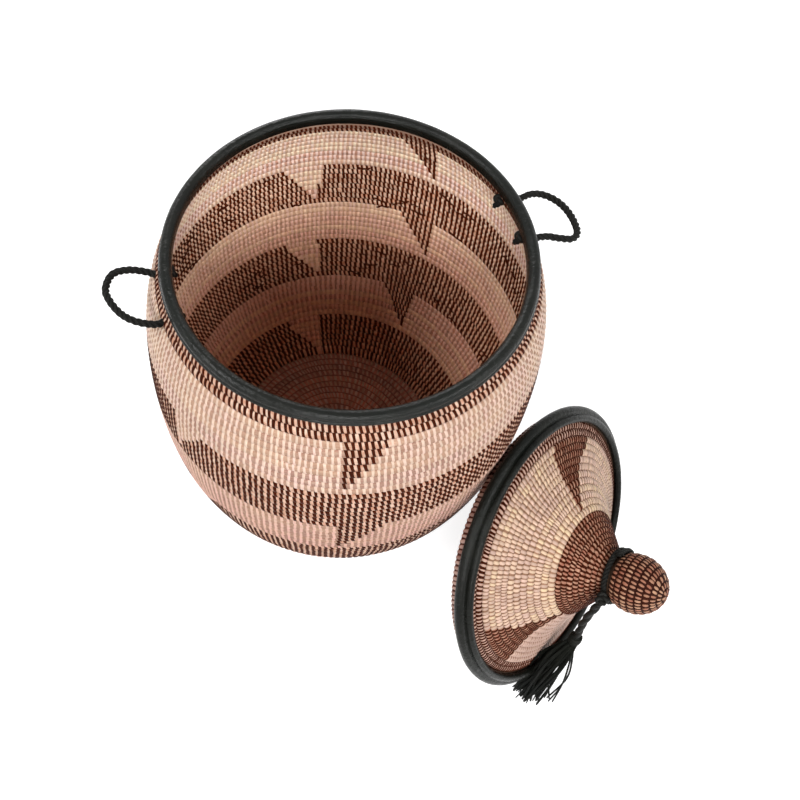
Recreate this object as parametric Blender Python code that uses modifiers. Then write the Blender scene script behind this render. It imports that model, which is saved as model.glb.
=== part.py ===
"""Laundry basket: a coiled grass hamper with a leather-bound rim, two cord handles and a lid.

The lid is shown taken off: it stands on its edge and leans on the wall, with its tassel hanging
to the floor. Metres, +Z up. The basket's axis is the Z axis and it stands on z = 0.
"""

import math

import bmesh
import bpy
import numpy as np
from mathutils import Euler, Matrix, Vector

MM = 0.001

# Resolution of the turned pieces and tubes
SEGMENTS = 24
KNOB_SEGMENTS = 20
KNOT_SEGMENTS = 10
TUBE_BEVEL_SEGMENTS = 2
WINDING_BEVEL_SEGMENTS = 1
LOOP_POINTS = 24
LINE_POINTS = 80
HANDLE_BOW_POINTS = 13
TASSEL_CORD_STEPS = 10
PLACING_STEPS = 40
MERGE_DISTANCE = 0.01 * MM
SMOOTH_ANGLE = math.radians(25)

# Clearance between pieces that touch, and how far a cutter runs past what it cuts
CLEAR = 0.3 * MM
CUT_OVERRUN = 10 * MM

# Basket wall: outer radii from the floor to the rim, and the coil it is built of
BODY_HEIGHT = 472 * MM
FOOT_RADIUS = 160 * MM
LOWER_RADIUS = 183.6 * MM
HIP_RADIUS = 208.6 * MM
BELLY_RADIUS = 223 * MM
CHEST_RADIUS = 220.3 * MM
SHOULDER_RADIUS = 207.2 * MM
RIM_RADIUS = 179.7 * MM
WALL_HEIGHT_SHARES = (0, 0.1, 0.25, 0.45, 0.65, 0.85, 1)
WALL_CURVE_DEGREE = 5
WALL_THICKNESS = 9.9 * MM
WALL_COILS = 50
COIL_GROOVE = 1.8 * MM
WALL_INSIDE_SHARES = (0.06, 0.15, 0.27, 0.4, 0.55, 0.7, 0.85, 1)

# Basket floor
BASE_THICKNESS = 9.8 * MM
BASE_COILS = 15
BASE_EDGE = 2 * MM

# Last coil of the rim and the leather folded over it
RIM_COIL_HALF = 4.2 * MM
RIM_COIL_INSET = 1.3 * MM
RIM_COIL_RISE = 6.5 * MM
LEATHER = 1.5 * MM
RIM_ROLL = 2.7 * MM
ROLL_ANGLE = 50

# Handles: twisted cord loops through the wall, knotted inside
HANDLE_CORD_RADIUS = 3.6 * MM
HANDLE_DROP = 14.4 * MM
HANDLE_HOLE_SPREAD = 27 * MM
HANDLE_HALF_WIDTH = 33 * MM
HANDLE_REACH = 48.6 * MM
HANDLE_LEFT_AZIMUTH = math.radians(192.9)
HANDLE_LEFT_TILT = math.radians(20)
HANDLE_RIGHT_AZIMUTH = math.radians(17.2)
HANDLE_RIGHT_TILT = math.radians(-8)
HANDLE_LEG_SHARES = (0, 0.2, 0.45, 0.75)
HANDLE_TIP_SHARES = (0.2, 0.85)
HANDLE_TIP_LENGTH = 3 * MM
HANDLE_KNOT_RADIUS = 8 * MM
HANDLE_END_RECESS = 0.45 * MM
HANDLE_END_CONE = 1.55 * MM

# Lid, measured up its own axis from the underside of its leather binding
LID_OVERHANG = 5.3 * MM
LID_COIL_HALF = 4.2 * MM
LID_BEAD = 4.6 * MM
LID_BEAD_LIFT = 2.8 * MM
LID_FOLD_END = 110
LID_BEAD_START = -20
LID_BEAD_END = 215
LID_SHOULDER_STEP = 12.3 * MM
LID_NECK_RADIUS = 28.5 * MM
LID_CONE_RISE = 81.4 * MM
LID_NECK_LENGTH = 8.2 * MM
LID_RADIUS_SHARES = (1, 0.843, 0.6, 0.42, 0.295, 0.18, 0.07, 0)
LID_RISE_SHARES = (0, 0.104, 0.248, 0.42, 0.575, 0.735, 0.889, 1)
LID_BAND_POINTS = 5
LID_BAND_COILS = 11
LID_CONE_COILS = 7
LID_THICKNESS = 9.9 * MM
COLLAR_THICKNESS = 9.8 * MM
COLLAR_DEPTH = 13.5 * MM
COLLAR_PLAY = 2.2 * MM

# Knob on the neck
KNOB_RADIUS = 33.7 * MM
KNOB_COILS = 12
KNOB_GROOVE = 0.9 * MM

# Cord tied round the neck, and the tassel that hangs from it
TIE_CORD_RADIUS = 3.2 * MM
TIE_PITCH = 7.1 * MM
TIE_ABOVE_NECK = 1.2 * MM
TIE_SETTLE = 1 * MM
TIE_START = math.radians(-92)
TIE_TURNS = 1.72
TIE_END_LIFT = 5 * MM
TIE_END_STEPS = 3
TIE_KNOT_ANGLE = math.radians(-105)
TIE_KNOT_RADIUS = 6.5 * MM
TASSEL_CORD_RADIUS = 4.6 * MM
TASSEL_CORD_LENGTH = 92 * MM
TASSEL_SLANT = math.radians(14)
TASSEL_HEADING = math.radians(-84)
TASSEL_CORD_BOW = 3 * MM
TASSEL_HEAD_RADIUS = 7.5 * MM
TASSEL_HEAD_LENGTH = 17 * MM
HEAD_RADIUS_SHARES = (0.7, 1, 0.86, 1, 0.8)
HEAD_LENGTH_SHARES = (0, 0.15, 0.5, 0.85, 1)
STRAND_COUNT = 7
STRAND_RADIUS = 1.7 * MM
STRAND_REACH = 74 * MM
STRAND_SPREAD = math.radians(58)
STRAND_HEADING = math.radians(-108)
STRAND_FALL = 1.35
STRAND_ROOT_RADIUS = 6 * MM
STRAND_ROOT_LENGTH = 7 * MM
STRAND_ROOT_SHARE = 0.6
STRAND_STEP_SHARES = (0, 0.14, 0.32, 0.55, 0.78, 1)
STRAND_LENGTH_SHARES = (0.94, 1, 0.9, 0.98, 0.88, 1, 0.93)

# Where the lid stands: direction from the basket, and the way its knob points
LID_AZIMUTH = math.radians(-38.6)
LID_HEADING = math.radians(-37.3)
LID_RISE_ANGLE = math.radians(33.4)

TURN = 2 * math.pi
PARTS = "laundry_basket"
CUTTERS = "cutters"


def clear_scene():
    """Remove whatever the scene holds, and make the two collections."""
    for existing in list(bpy.data.objects):
        bpy.data.objects.remove(existing, do_unlink=True)
    for name in (PARTS, CUTTERS):
        bpy.context.scene.collection.children.link(bpy.data.collections.new(name))


def add_object(name, data, collection=PARTS, parent=None):
    """A new object in one of the two collections."""
    made = bpy.data.objects.new(name, data)
    bpy.data.collections[collection].objects.link(made)
    made.parent = parent
    return made


def add_cutter(name, data, parent=None):
    """An object that only shapes another one."""
    made = add_object(name, data, CUTTERS, parent)
    made.hide_render = True
    made.display_type = "WIRE"
    return made


def add_empty(name, location):
    """An empty that carries pieces, standing on the axis that they turn about."""
    made = add_object(name, None)
    made.location = location
    return made


def material(name, colour, roughness, metallic=0.0):
    """A Principled material with one colour."""
    made = bpy.data.materials.new(name)
    made.use_nodes = True
    shader = made.node_tree.nodes["Principled BSDF"]
    shader.inputs["Base Color"].default_value = (*colour, 1.0)
    shader.inputs["Roughness"].default_value = roughness
    shader.inputs["Metallic"].default_value = metallic
    made.diffuse_color = (*colour, 1.0)
    return made


def make_materials():
    """One material for each sub-part, in the photograph's colours."""
    return {
        "base coil": material("base coil", (0.36, 0.20, 0.13), 0.75),
        "wall coil": material("wall coil", (0.76, 0.58, 0.46), 0.7),
        "rim leather": material("rim leather", (0.035, 0.037, 0.034), 0.42),
        "handle cord": material("handle cord", (0.03, 0.028, 0.027), 0.55),
        "knot cord": material("knot cord", (0.04, 0.036, 0.034), 0.6),
        "lid coil": material("lid coil", (0.78, 0.62, 0.5), 0.7),
        "collar coil": material("collar coil", (0.42, 0.25, 0.2), 0.72),
        "lid leather": material("lid leather", (0.032, 0.035, 0.033), 0.4),
        "knob coil": material("knob coil", (0.5, 0.3, 0.22), 0.68),
        "tie cord": material("tie cord", (0.028, 0.03, 0.028), 0.55),
        "tie knot cord": material("tie knot cord", (0.032, 0.034, 0.031), 0.55),
        "tassel cord": material("tassel cord", (0.03, 0.03, 0.028), 0.55),
        "tassel leather": material("tassel leather", (0.04, 0.04, 0.037), 0.5),
        "strand leather": material("strand leather", (0.045, 0.045, 0.042), 0.55),
    }


# Outlines in the (radius, height) plane

def arc(centre, radius, start, end, count):
    """Points on an arc, angles in degrees from the outward direction."""
    angles = np.radians(np.linspace(start, end, count))
    return [(centre[0] + radius * math.cos(a), centre[1] + radius * math.sin(a)) for a in angles]


def spaced(points, count):
    """The polyline cut into count equal lengths."""
    points = np.array(points, dtype=float)
    steps = np.hypot(*np.diff(points, axis=0).T)
    travelled = np.concatenate([[0], np.cumsum(steps)])
    wanted = np.linspace(0, travelled[-1], count + 1)
    return np.stack([np.interp(wanted, travelled, points[:, axis]) for axis in (0, 1)], axis=1)


def normals(points):
    """The unit normals on the left of the way the polyline runs."""
    tangents = np.gradient(np.array(points, dtype=float), axis=0)
    tangents /= np.linalg.norm(tangents, axis=1)[:, None]
    return np.stack([-tangents[:, 1], tangents[:, 0]], axis=1)


def coiled(points, coils, groove):
    """A crest in the middle of each coil and a groove at each edge, cut to the left."""
    rows = spaced(points, 2 * coils)
    depth = np.where(np.arange(len(rows)) % 2 == 0, groove, 0)
    return [tuple(point) for point in rows + normals(rows) * depth[:, None]]


def offset(points, distance):
    """The polyline moved to its left."""
    return [tuple(point) for point in np.array(points) + normals(points) * distance]


def wall_curve():
    """The wall's outer radius as a smooth function of height."""
    radii = (FOOT_RADIUS, LOWER_RADIUS, HIP_RADIUS, BELLY_RADIUS,
             CHEST_RADIUS, SHOULDER_RADIUS, RIM_RADIUS)
    heights = np.array(WALL_HEIGHT_SHARES) * BODY_HEIGHT
    return np.polynomial.Polynomial.fit(heights, radii, WALL_CURVE_DEGREE)


WALL_CURVE = wall_curve()
WALL_SLOPE = WALL_CURVE.deriv()


def wall_line(shares):
    """Points of the outer wall at the given shares of its height."""
    return [(float(WALL_CURVE(share * BODY_HEIGHT)), share * BODY_HEIGHT) for share in shares]


# Sizes that several pieces share
BASE_RADIUS = FOOT_RADIUS - WALL_THICKNESS - CLEAR
RIM_CAVITY = RIM_COIL_HALF + CLEAR
RIM_FOLD = RIM_CAVITY + LEATHER
RIM_COIL_RADIUS = float(WALL_CURVE(BODY_HEIGHT)) - RIM_COIL_INSET - RIM_COIL_HALF
RIM_COIL_HEIGHT = BODY_HEIGHT + RIM_COIL_RISE
LEATHER_FOOT = BODY_HEIGHT + CLEAR
MOUTH_RADIUS = RIM_COIL_RADIUS - RIM_FOLD
LID_CAVITY = LID_COIL_HALF + CLEAR
LID_FOLD = LID_CAVITY + LEATHER
LID_COIL_HEIGHT = LID_FOLD
LID_COIL_RADIUS = MOUTH_RADIUS + LID_OVERHANG
LID_SHOULDER_RADIUS = LID_COIL_RADIUS - LID_SHOULDER_STEP
LID_TOP = LID_COIL_HEIGHT + LID_COIL_HALF
LID_UNDER = LID_COIL_HEIGHT - LID_COIL_HALF
COLLAR_RADIUS = MOUTH_RADIUS - COLLAR_PLAY
NECK_BASE = LID_TOP + LID_CONE_RISE
NECK_TOP = NECK_BASE + LID_NECK_LENGTH
KNOB_FOOT_RADIUS = LID_NECK_RADIUS - CLEAR
KNOB_FOOT = NECK_TOP + CLEAR
KNOB_FLAT_ANGLE = math.acos(KNOB_FOOT_RADIUS / KNOB_RADIUS)
KNOB_HEIGHT = KNOB_FOOT + KNOB_RADIUS * math.sin(KNOB_FLAT_ANGLE)
TIE_LOW = NECK_BASE + TIE_ABOVE_NECK
TIE_HIGH = TIE_LOW + TIE_PITCH * TIE_TURNS
TIE_REACH = KNOB_RADIUS + TIE_CORD_RADIUS + CLEAR - TIE_SETTLE
TIE_RADIUS = max(math.sqrt(max(TIE_REACH ** 2 - (KNOB_HEIGHT - TIE_HIGH) ** 2, 0)),
                 LID_NECK_RADIUS + TIE_CORD_RADIUS + CLEAR)


def wall_inner():
    """The wall's inner line, from near the floor to the underside of the rim."""
    inner = offset(wall_line(WALL_INSIDE_SHARES), WALL_THICKNESS)
    return inner[:-1] + [(RIM_COIL_RADIUS - RIM_COIL_HALF, BODY_HEIGHT)]


def faceted(radius, angle):
    """How far the flat facets of a turned piece are from its axis, in a direction."""
    half = math.pi / SEGMENTS
    return radius * math.cos(half) / math.cos((angle % (2 * half)) - half)


# Making solids

def finish(made, name, look):
    """Name an object and give it its material."""
    made.name = name
    made.data.name = name
    made.data.materials.clear()
    made.data.materials.append(look)
    return made


def settle(made):
    """Make the modifiers' result the object's own mesh, smooth but for its sharp edges."""
    mesh = bpy.data.meshes.new_from_object(
        made.evaluated_get(bpy.context.evaluated_depsgraph_get()))
    mesh.shade_smooth()
    mesh.set_sharp_from_angle(angle=SMOOTH_ANGLE)
    made.modifiers.clear()
    made.data = mesh


def turned(name, outline, look, closed=False, segments=SEGMENTS, parent=None):
    """A solid of revolution about local Z, turned from a profile with a Screw modifier."""
    mesh = bpy.data.meshes.new(name)
    shape = bmesh.new()
    corners = [shape.verts.new((radius, 0, height)) for radius, height in outline]
    pairs = list(zip(corners, corners[1:]))
    if closed:
        pairs.append((corners[-1], corners[0]))
    for pair in pairs:
        shape.edges.new(pair)
    shape.to_mesh(mesh)
    shape.free()
    made = add_object(name, mesh, parent=parent)
    screw = made.modifiers.new("Turn", "SCREW")
    screw.axis = "Z"
    screw.angle = TURN
    screw.steps = segments
    screw.render_steps = segments
    screw.use_merge_vertices = True
    screw.merge_threshold = MERGE_DISTANCE
    screw.use_normal_calculate = True
    settle(made)
    return finish(made, name, look)


def tube(name, points, radius, look, bevel_segments=TUBE_BEVEL_SEGMENTS, radii=None, parent=None):
    """A cord: a polyline with a round bevel and filled caps."""
    curve = bpy.data.curves.new(name, "CURVE")
    curve.dimensions = "3D"
    curve.bevel_depth = radius
    curve.bevel_resolution = bevel_segments
    curve.use_fill_caps = True
    add_spline(curve, points, radii)
    made = add_object(name, curve, parent=parent)
    return finish(made, name, look)


def add_spline(curve, points, radii=None):
    """Add one polyline to a curve."""
    spline = curve.splines.new("POLY")
    spline.points.add(len(points) - 1)
    for index, point in enumerate(points):
        spline.points[index].co = (*point, 1)
        spline.points[index].radius = radii[index] if radii else 1


def smooth(points, count):
    """Points on a Catmull-Rom curve through the given points."""
    knots = [Vector(point) for point in points]
    knots = [knots[0] * 2 - knots[1]] + knots + [knots[-1] * 2 - knots[-2]]
    stretches = len(knots) - 3
    made = []
    for step in range(count + 1):
        place = step / count * stretches
        start = min(int(place), stretches - 1)
        t = place - start
        a, b, c, d = knots[start:start + 4]
        made.append(0.5 * ((2 * b) + (c - a) * t + (2 * a - 5 * b + 4 * c - d) * t ** 2
                           + (3 * b - a - 3 * c + d) * t ** 3))
    return made


# The basket

def make_base(looks):
    """The flat coiled floor, flat below and ribbed above."""
    upper = coiled([(BASE_RADIUS, BASE_THICKNESS), (0, BASE_THICKNESS)], BASE_COILS, COIL_GROOVE)
    upper[-1] = (0, upper[-1][1])
    outline = [(0, 0), (BASE_RADIUS - BASE_EDGE, 0), (BASE_RADIUS, BASE_EDGE)] + upper
    return turned("basket_base", outline, looks["base coil"])


def handle_frame(azimuth, side):
    """The centre of a handle's hole in the wall's outer face, and the way out of it."""
    height = BODY_HEIGHT - HANDLE_DROP
    radius = float(WALL_CURVE(height))
    angle = azimuth + side * math.asin(HANDLE_HOLE_SPREAD / radius)
    outward = Vector((math.cos(angle), math.sin(angle), 0))
    return outward * radius + Vector((0, 0, height)), outward


def make_holes():
    """One cutter for the four holes that the handle cords pass through."""
    shape = bmesh.new()
    for azimuth in (HANDLE_LEFT_AZIMUTH, HANDLE_RIGHT_AZIMUTH):
        for side in (-1, 1):
            place, outward = handle_frame(azimuth, side)
            turn = outward.to_track_quat("Z", "Y").to_matrix().to_4x4()
            bmesh.ops.create_cone(
                shape, cap_ends=True, segments=KNOT_SEGMENTS,
                depth=2 * (WALL_THICKNESS + CUT_OVERRUN),
                radius1=HANDLE_CORD_RADIUS + CLEAR, radius2=HANDLE_CORD_RADIUS + CLEAR,
                matrix=Matrix.Translation(place) @ turn)
    mesh = bpy.data.meshes.new("handle_holes")
    shape.to_mesh(mesh)
    shape.free()
    return add_cutter("handle_holes", mesh)


def make_wall(looks):
    """The barrel wall: coils outside, a plain inner face, and the last coil on top."""
    outer = coiled(wall_line(np.linspace(0, 1, LINE_POINTS)), WALL_COILS, COIL_GROOVE)
    outer[0] = (outer[0][0], 0)
    outer[-1] = (RIM_COIL_RADIUS + RIM_COIL_HALF, BODY_HEIGHT)
    top = arc((RIM_COIL_RADIUS, RIM_COIL_HEIGHT), RIM_COIL_HALF, 0, 180, 5)
    inner = wall_inner()
    foot = [(BASE_RADIUS + CLEAR, BASE_THICKNESS), (BASE_RADIUS + CLEAR, 0)]
    wall = turned("basket_wall", outer + top + inner[::-1] + foot, looks["wall coil"], closed=True)
    holes = wall.modifiers.new("Handle holes", "BOOLEAN")
    holes.operation = "DIFFERENCE"
    holes.solver = "EXACT"
    holes.object = make_holes()
    return wall


def make_rim_binding(looks):
    """Leather folded over the last coil, with a top roll and an outer roll."""
    outside = RIM_COIL_RADIUS + RIM_CAVITY
    inside = RIM_COIL_RADIUS - RIM_CAVITY
    centre = (RIM_COIL_RADIUS, RIM_COIL_HEIGHT)
    outline = [(outside, LEATHER_FOOT)]
    outline += arc((outside, LEATHER_FOOT + RIM_ROLL), RIM_ROLL, -ROLL_ANGLE, ROLL_ANGLE, 4)
    outline += arc(centre, RIM_FOLD, 0, 180, 7)
    outline += [(MOUTH_RADIUS, LEATHER_FOOT), (inside, LEATHER_FOOT)]
    outline += arc(centre, RIM_CAVITY, 180, 0, 5)
    return turned("rim_binding", outline, looks["rim leather"], closed=True)


def handle_path():
    """The loop in its own plane, as (side, reach) points from one hole to the other."""
    straight = HANDLE_REACH - HANDLE_HALF_WIDTH
    leg = []
    for share in HANDLE_LEG_SHARES:
        swell = math.sin(share * math.pi / 2)
        leg.append((HANDLE_HOLE_SPREAD + (HANDLE_HALF_WIDTH - HANDLE_HOLE_SPREAD) * swell,
                    straight * share))
    bow = [(HANDLE_HALF_WIDTH * math.cos(a), straight + HANDLE_HALF_WIDTH * math.sin(a))
           for a in np.linspace(0, math.pi, HANDLE_BOW_POINTS)]
    back = [(-side, reach) for side, reach in reversed(leg)]
    return leg + bow + back


def make_handle_loop(name, azimuth, tilt, look):
    """One stiff cord loop. Its origin lies on the line through its two holes."""
    near, _ = handle_frame(azimuth, -1)
    far, _ = handle_frame(azimuth, 1)
    pivot = add_empty(name + "_pivot", (near + far) / 2)
    pivot.rotation_euler = Euler((0, -tilt, azimuth), "XYZ")
    points = [Vector((reach + CLEAR, side, 0)) for side, reach in handle_path()]
    first = points[0] + (points[1] - points[0]).normalized() * HANDLE_TIP_LENGTH
    last = points[-1] + (points[-2] - points[-1]).normalized() * HANDLE_TIP_LENGTH
    points = [points[0], first] + points[1:-1] + [last, points[-1]]
    radii = list(HANDLE_TIP_SHARES) + [1] * (len(points) - 4) + list(reversed(HANDLE_TIP_SHARES))
    return tube(name, points, HANDLE_CORD_RADIUS, look, radii=radii, parent=pivot)


def make_handle_knot(name, azimuth, side, look):
    """The end of a handle's cord: through the wall, and a knot against its inner face."""
    place, outward = handle_frame(azimuth, side)
    low, high = wall_inner()[-2:]
    share = (place.z - low[1]) / (high[1] - low[1])
    lean = math.cos(math.atan((high[0] - low[0]) / (high[1] - low[1])))
    inner = faceted(low[0] + (high[0] - low[0]) * share, math.atan2(outward.y, outward.x))
    centre = inner - place.xy.length - (HANDLE_KNOT_RADIUS + CLEAR) / lean
    bulge = math.degrees(math.asin(HANDLE_CORD_RADIUS / HANDLE_KNOT_RADIUS))
    outline = [(HANDLE_KNOT_RADIUS * math.sin(math.radians(a)),
                centre - HANDLE_KNOT_RADIUS * math.cos(math.radians(a)))
               for a in np.linspace(0, 180 - bulge, 6)]
    outline[0] = (0, outline[0][1])
    outline += [(HANDLE_CORD_RADIUS, -HANDLE_END_RECESS - HANDLE_END_CONE),
                (0, -HANDLE_END_RECESS)]
    made = turned(name, outline, look, segments=KNOT_SEGMENTS)
    made.location = place
    made.rotation_mode = "QUATERNION"
    made.rotation_quaternion = outward.to_track_quat("Z", "Y")
    return made


def make_handles(looks):
    """Both handles, each a loop and its two knotted ends."""
    make_handle_loop("handle_left_loop", HANDLE_LEFT_AZIMUTH, HANDLE_LEFT_TILT,
                     looks["handle cord"])
    make_handle_loop("handle_right_loop", HANDLE_RIGHT_AZIMUTH, HANDLE_RIGHT_TILT,
                     looks["handle cord"])
    make_handle_knot("handle_left_knot_back", HANDLE_LEFT_AZIMUTH, -1, looks["knot cord"])
    make_handle_knot("handle_left_knot_front", HANDLE_LEFT_AZIMUTH, 1, looks["knot cord"])
    make_handle_knot("handle_right_knot_front", HANDLE_RIGHT_AZIMUTH, -1, looks["knot cord"])
    make_handle_knot("handle_right_knot_back", HANDLE_RIGHT_AZIMUTH, 1, looks["knot cord"])


# The lid, in its own frame

def lid_line():
    """The lid's outer line from the binding to the neck."""
    span = LID_SHOULDER_RADIUS - LID_NECK_RADIUS
    return [(LID_NECK_RADIUS + span * across, LID_TOP + LID_CONE_RISE * up)
            for across, up in zip(LID_RADIUS_SHARES, LID_RISE_SHARES)]


def lid_binding_outline():
    """Leather folded round the lid's edge coil, with an outer roll and a bead on top."""
    centre = (LID_COIL_RADIUS, LID_COIL_HEIGHT)
    leg = COLLAR_RADIUS + 2 * CLEAR
    bead = (LID_SHOULDER_RADIUS + CLEAR + LID_BEAD, LID_COIL_HEIGHT + LID_CAVITY + LID_BEAD_LIFT)
    outline = [(leg, 0)] + arc(centre, LID_FOLD, -90, LID_FOLD_END, 7)
    outline += arc(bead, LID_BEAD, LID_BEAD_START, LID_BEAD_END, 6)
    outline += arc(centre, LID_CAVITY, 90, -90, 5)
    return outline + [(leg, LID_COIL_HEIGHT - LID_CAVITY)]


def make_lid_shell(looks, frame):
    """The flared cone and its neck, coiled outside and plain inside."""
    line = lid_line()
    band = coiled(line[:LID_BAND_POINTS], LID_BAND_COILS, COIL_GROOVE)
    cone = coiled(line[LID_BAND_POINTS - 1:], LID_CONE_COILS, COIL_GROOVE)
    under = offset(line, LID_THICKNESS)
    inner = [point for point in under[1:] if point[0] > 0][::-1]
    edge = arc((LID_COIL_RADIUS, LID_COIL_HEIGHT), LID_COIL_HALF, -90, 90, 5)
    outline = [(0, inner[0][1])] + inner
    outline += [(COLLAR_RADIUS - COLLAR_THICKNESS, LID_UNDER)] + edge
    outline += [(LID_SHOULDER_RADIUS, LID_TOP)] + band[1:] + cone[1:-1]
    outline += [(LID_NECK_RADIUS, NECK_BASE), (LID_NECK_RADIUS, NECK_TOP), (0, NECK_TOP)]
    return turned("lid_shell", outline, looks["lid coil"], parent=frame)


def lid_collar_outline():
    """The stitched ring under the lid that fits in the mouth, round below."""
    half = COLLAR_THICKNESS / 2
    middle = COLLAR_RADIUS - half
    top = LID_UNDER - CLEAR
    outline = arc((middle, half - COLLAR_DEPTH), half, 180, 360, 6)
    return outline + [(middle + half, top), (middle - half, top)]


def make_knob(looks, frame):
    """The coiled ball, flat where it sits on the neck."""
    foot = -math.degrees(KNOB_FLAT_ANGLE)
    line = arc((0, KNOB_HEIGHT), KNOB_RADIUS, foot, 90, LINE_POINTS)
    rows = coiled(line, KNOB_COILS, KNOB_GROOVE)
    rows[-1] = (0, rows[-1][1])
    outline = [(0, KNOB_FOOT), (rows[0][0], KNOB_FOOT)] + rows[1:]
    return turned("lid_knob", outline, looks["knob coil"], segments=KNOB_SEGMENTS, parent=frame)


def tie_path():
    """The cord round the neck: one unbroken winding that climbs by its pitch in each turn."""
    count = round(LOOP_POINTS * TIE_TURNS)
    points = []
    for step in range(count + 1):
        turns = step / LOOP_POINTS
        angle = TIE_START + turns * TURN
        rise = TIE_LOW + TIE_PITCH * turns
        lift = TIE_END_LIFT * max(0, 1 - (count - step) / TIE_END_STEPS) ** 2
        radius = TIE_RADIUS + lift
        points.append(Vector((radius * math.cos(angle), radius * math.sin(angle), rise)))
    return points


def winding_gap(points, radius):
    """The least gap between parts of a wound tube that lie more than half a turn apart."""
    least = math.inf
    for first, point in enumerate(points):
        for other in points[first + LOOP_POINTS // 2:]:
            least = min(least, (point - other).length)
    return least - 2 * radius


def make_tie(looks, frame):
    """The neck cord and the knot that ties it."""
    points = tie_path()
    print(f"neck cord: least gap to itself {winding_gap(points, TIE_CORD_RADIUS) / MM:.2f} mm")
    tube("neck_cord", points, TIE_CORD_RADIUS, looks["tie cord"],
         bevel_segments=WINDING_BEVEL_SEGMENTS, parent=frame)
    outline = arc((0, 0), TIE_KNOT_RADIUS, -90, 90, 7)
    outline[0] = (0, outline[0][1])
    outline[-1] = (0, outline[-1][1])
    knot = turned("tie_knot", outline, looks["tie knot cord"], segments=KNOT_SEGMENTS, parent=frame)
    knot.location = tie_knot_place()


def tie_knot_place():
    """The tie knot's centre in the lid's frame: against the outside of the winding."""
    reach = TIE_RADIUS + TIE_CORD_RADIUS + TIE_KNOT_RADIUS + CLEAR
    return Vector((reach * math.cos(TIE_KNOT_ANGLE), reach * math.sin(TIE_KNOT_ANGLE),
                   (TIE_LOW + TIE_HIGH) / 2))


# Standing the lid against the wall

def lid_rim_points(turn):
    """The lid's outermost corners, turned the way it stands, about its own origin."""
    points = []
    for radius, height in lid_binding_outline() + lid_collar_outline():
        for step in range(2 * SEGMENTS):
            angle = step / (2 * SEGMENTS) * TURN
            reach = faceted(radius, angle)
            points.append(turn @ Vector((reach * math.cos(angle), reach * math.sin(angle), height)))
    return points


def wall_gap(points, shift):
    """The least gap between the points, shifted, and the wall."""
    least = math.inf
    for point in points:
        place = point + shift
        height = min(max(place.z, 0), BODY_HEIGHT)
        radius = faceted(float(WALL_CURVE(height)), math.atan2(place.y, place.x))
        lean = math.cos(math.atan(float(WALL_SLOPE(height))))
        least = min(least, (place.xy.length - radius) * lean)
    return least


def lid_placement():
    """The lid's turn and place: its edge on the floor, its top edge against the wall."""
    turn = Euler((0, math.pi / 2 - LID_RISE_ANGLE, LID_HEADING), "XYZ").to_matrix()
    points = lid_rim_points(turn)
    lift = -min(point.z for point in points)
    away = Vector((math.cos(LID_AZIMUTH), math.sin(LID_AZIMUTH), 0))
    close, far = 0, BELLY_RADIUS + 2 * (LID_COIL_RADIUS + LID_FOLD)
    for _ in range(PLACING_STEPS):
        middle = (close + far) / 2
        if wall_gap(points, away * middle + Vector((0, 0, lift))) < CLEAR:
            close = middle
        else:
            far = middle
    return turn, away * far + Vector((0, 0, lift))


def make_lid_frame():
    """The empty that carries the lid's pieces where the lid stands."""
    turn, place = lid_placement()
    frame = add_empty("lid_frame", place)
    frame.rotation_euler = turn.to_euler("XYZ")
    return frame, Matrix.Translation(place) @ turn.to_4x4()


# The tassel, hanging from the tie knot

def along(heading, slant):
    """A direction that hangs down, slanting to one side."""
    return Vector((math.cos(heading) * math.sin(slant), math.sin(heading) * math.sin(slant),
                   -math.cos(slant)))


def make_tassel(looks, pivot_place):
    """Cord, head and strands. Their parent empty stands on the tassel's hinge."""
    pivot = add_empty("tassel_pivot", pivot_place)
    down = along(TASSEL_HEADING, TASSEL_SLANT)
    bow = Vector((down.z, 0, -down.x)).normalized() * TASSEL_CORD_BOW
    start = down * (TIE_KNOT_RADIUS + CLEAR)
    end = start + down * TASSEL_CORD_LENGTH
    tube("tassel_cord", smooth([start, (start + end) / 2 + bow, end], TASSEL_CORD_STEPS),
         TASSEL_CORD_RADIUS, looks["tassel cord"], parent=pivot)
    head = make_tassel_head(looks["tassel leather"], pivot)
    head.location = end + down * 2 * CLEAR
    head.rotation_mode = "QUATERNION"
    head.rotation_quaternion = down.to_track_quat("Z", "Y")
    root = end + down * (TASSEL_HEAD_LENGTH + 3 * CLEAR)
    make_strands(looks["strand leather"], pivot, root, down)


def make_tassel_head(look, pivot):
    """The wrapped binding round the strands' tops."""
    outline = [(TASSEL_HEAD_RADIUS * out, TASSEL_HEAD_LENGTH * down)
               for out, down in zip(HEAD_RADIUS_SHARES, HEAD_LENGTH_SHARES)]
    outline = [(0, 0)] + outline + [(0, TASSEL_HEAD_LENGTH)]
    return turned("tassel_head", outline, look, segments=KNOT_SEGMENTS, parent=pivot)


def strand_points(index, root, drop):
    """One strand, falling from the head to the floor."""
    share = index / (STRAND_COUNT - 1) - 0.5
    heading = STRAND_HEADING + share * STRAND_SPREAD
    outward = Vector((math.cos(heading), math.sin(heading), 0))
    reach = STRAND_REACH * STRAND_LENGTH_SHARES[index % len(STRAND_LENGTH_SHARES)]
    start = root + outward * STRAND_ROOT_RADIUS * STRAND_ROOT_SHARE
    points = []
    for t in STRAND_STEP_SHARES:
        points.append(start + outward * reach * t - Vector((0, 0, drop * t ** STRAND_FALL)))
    return points


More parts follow.
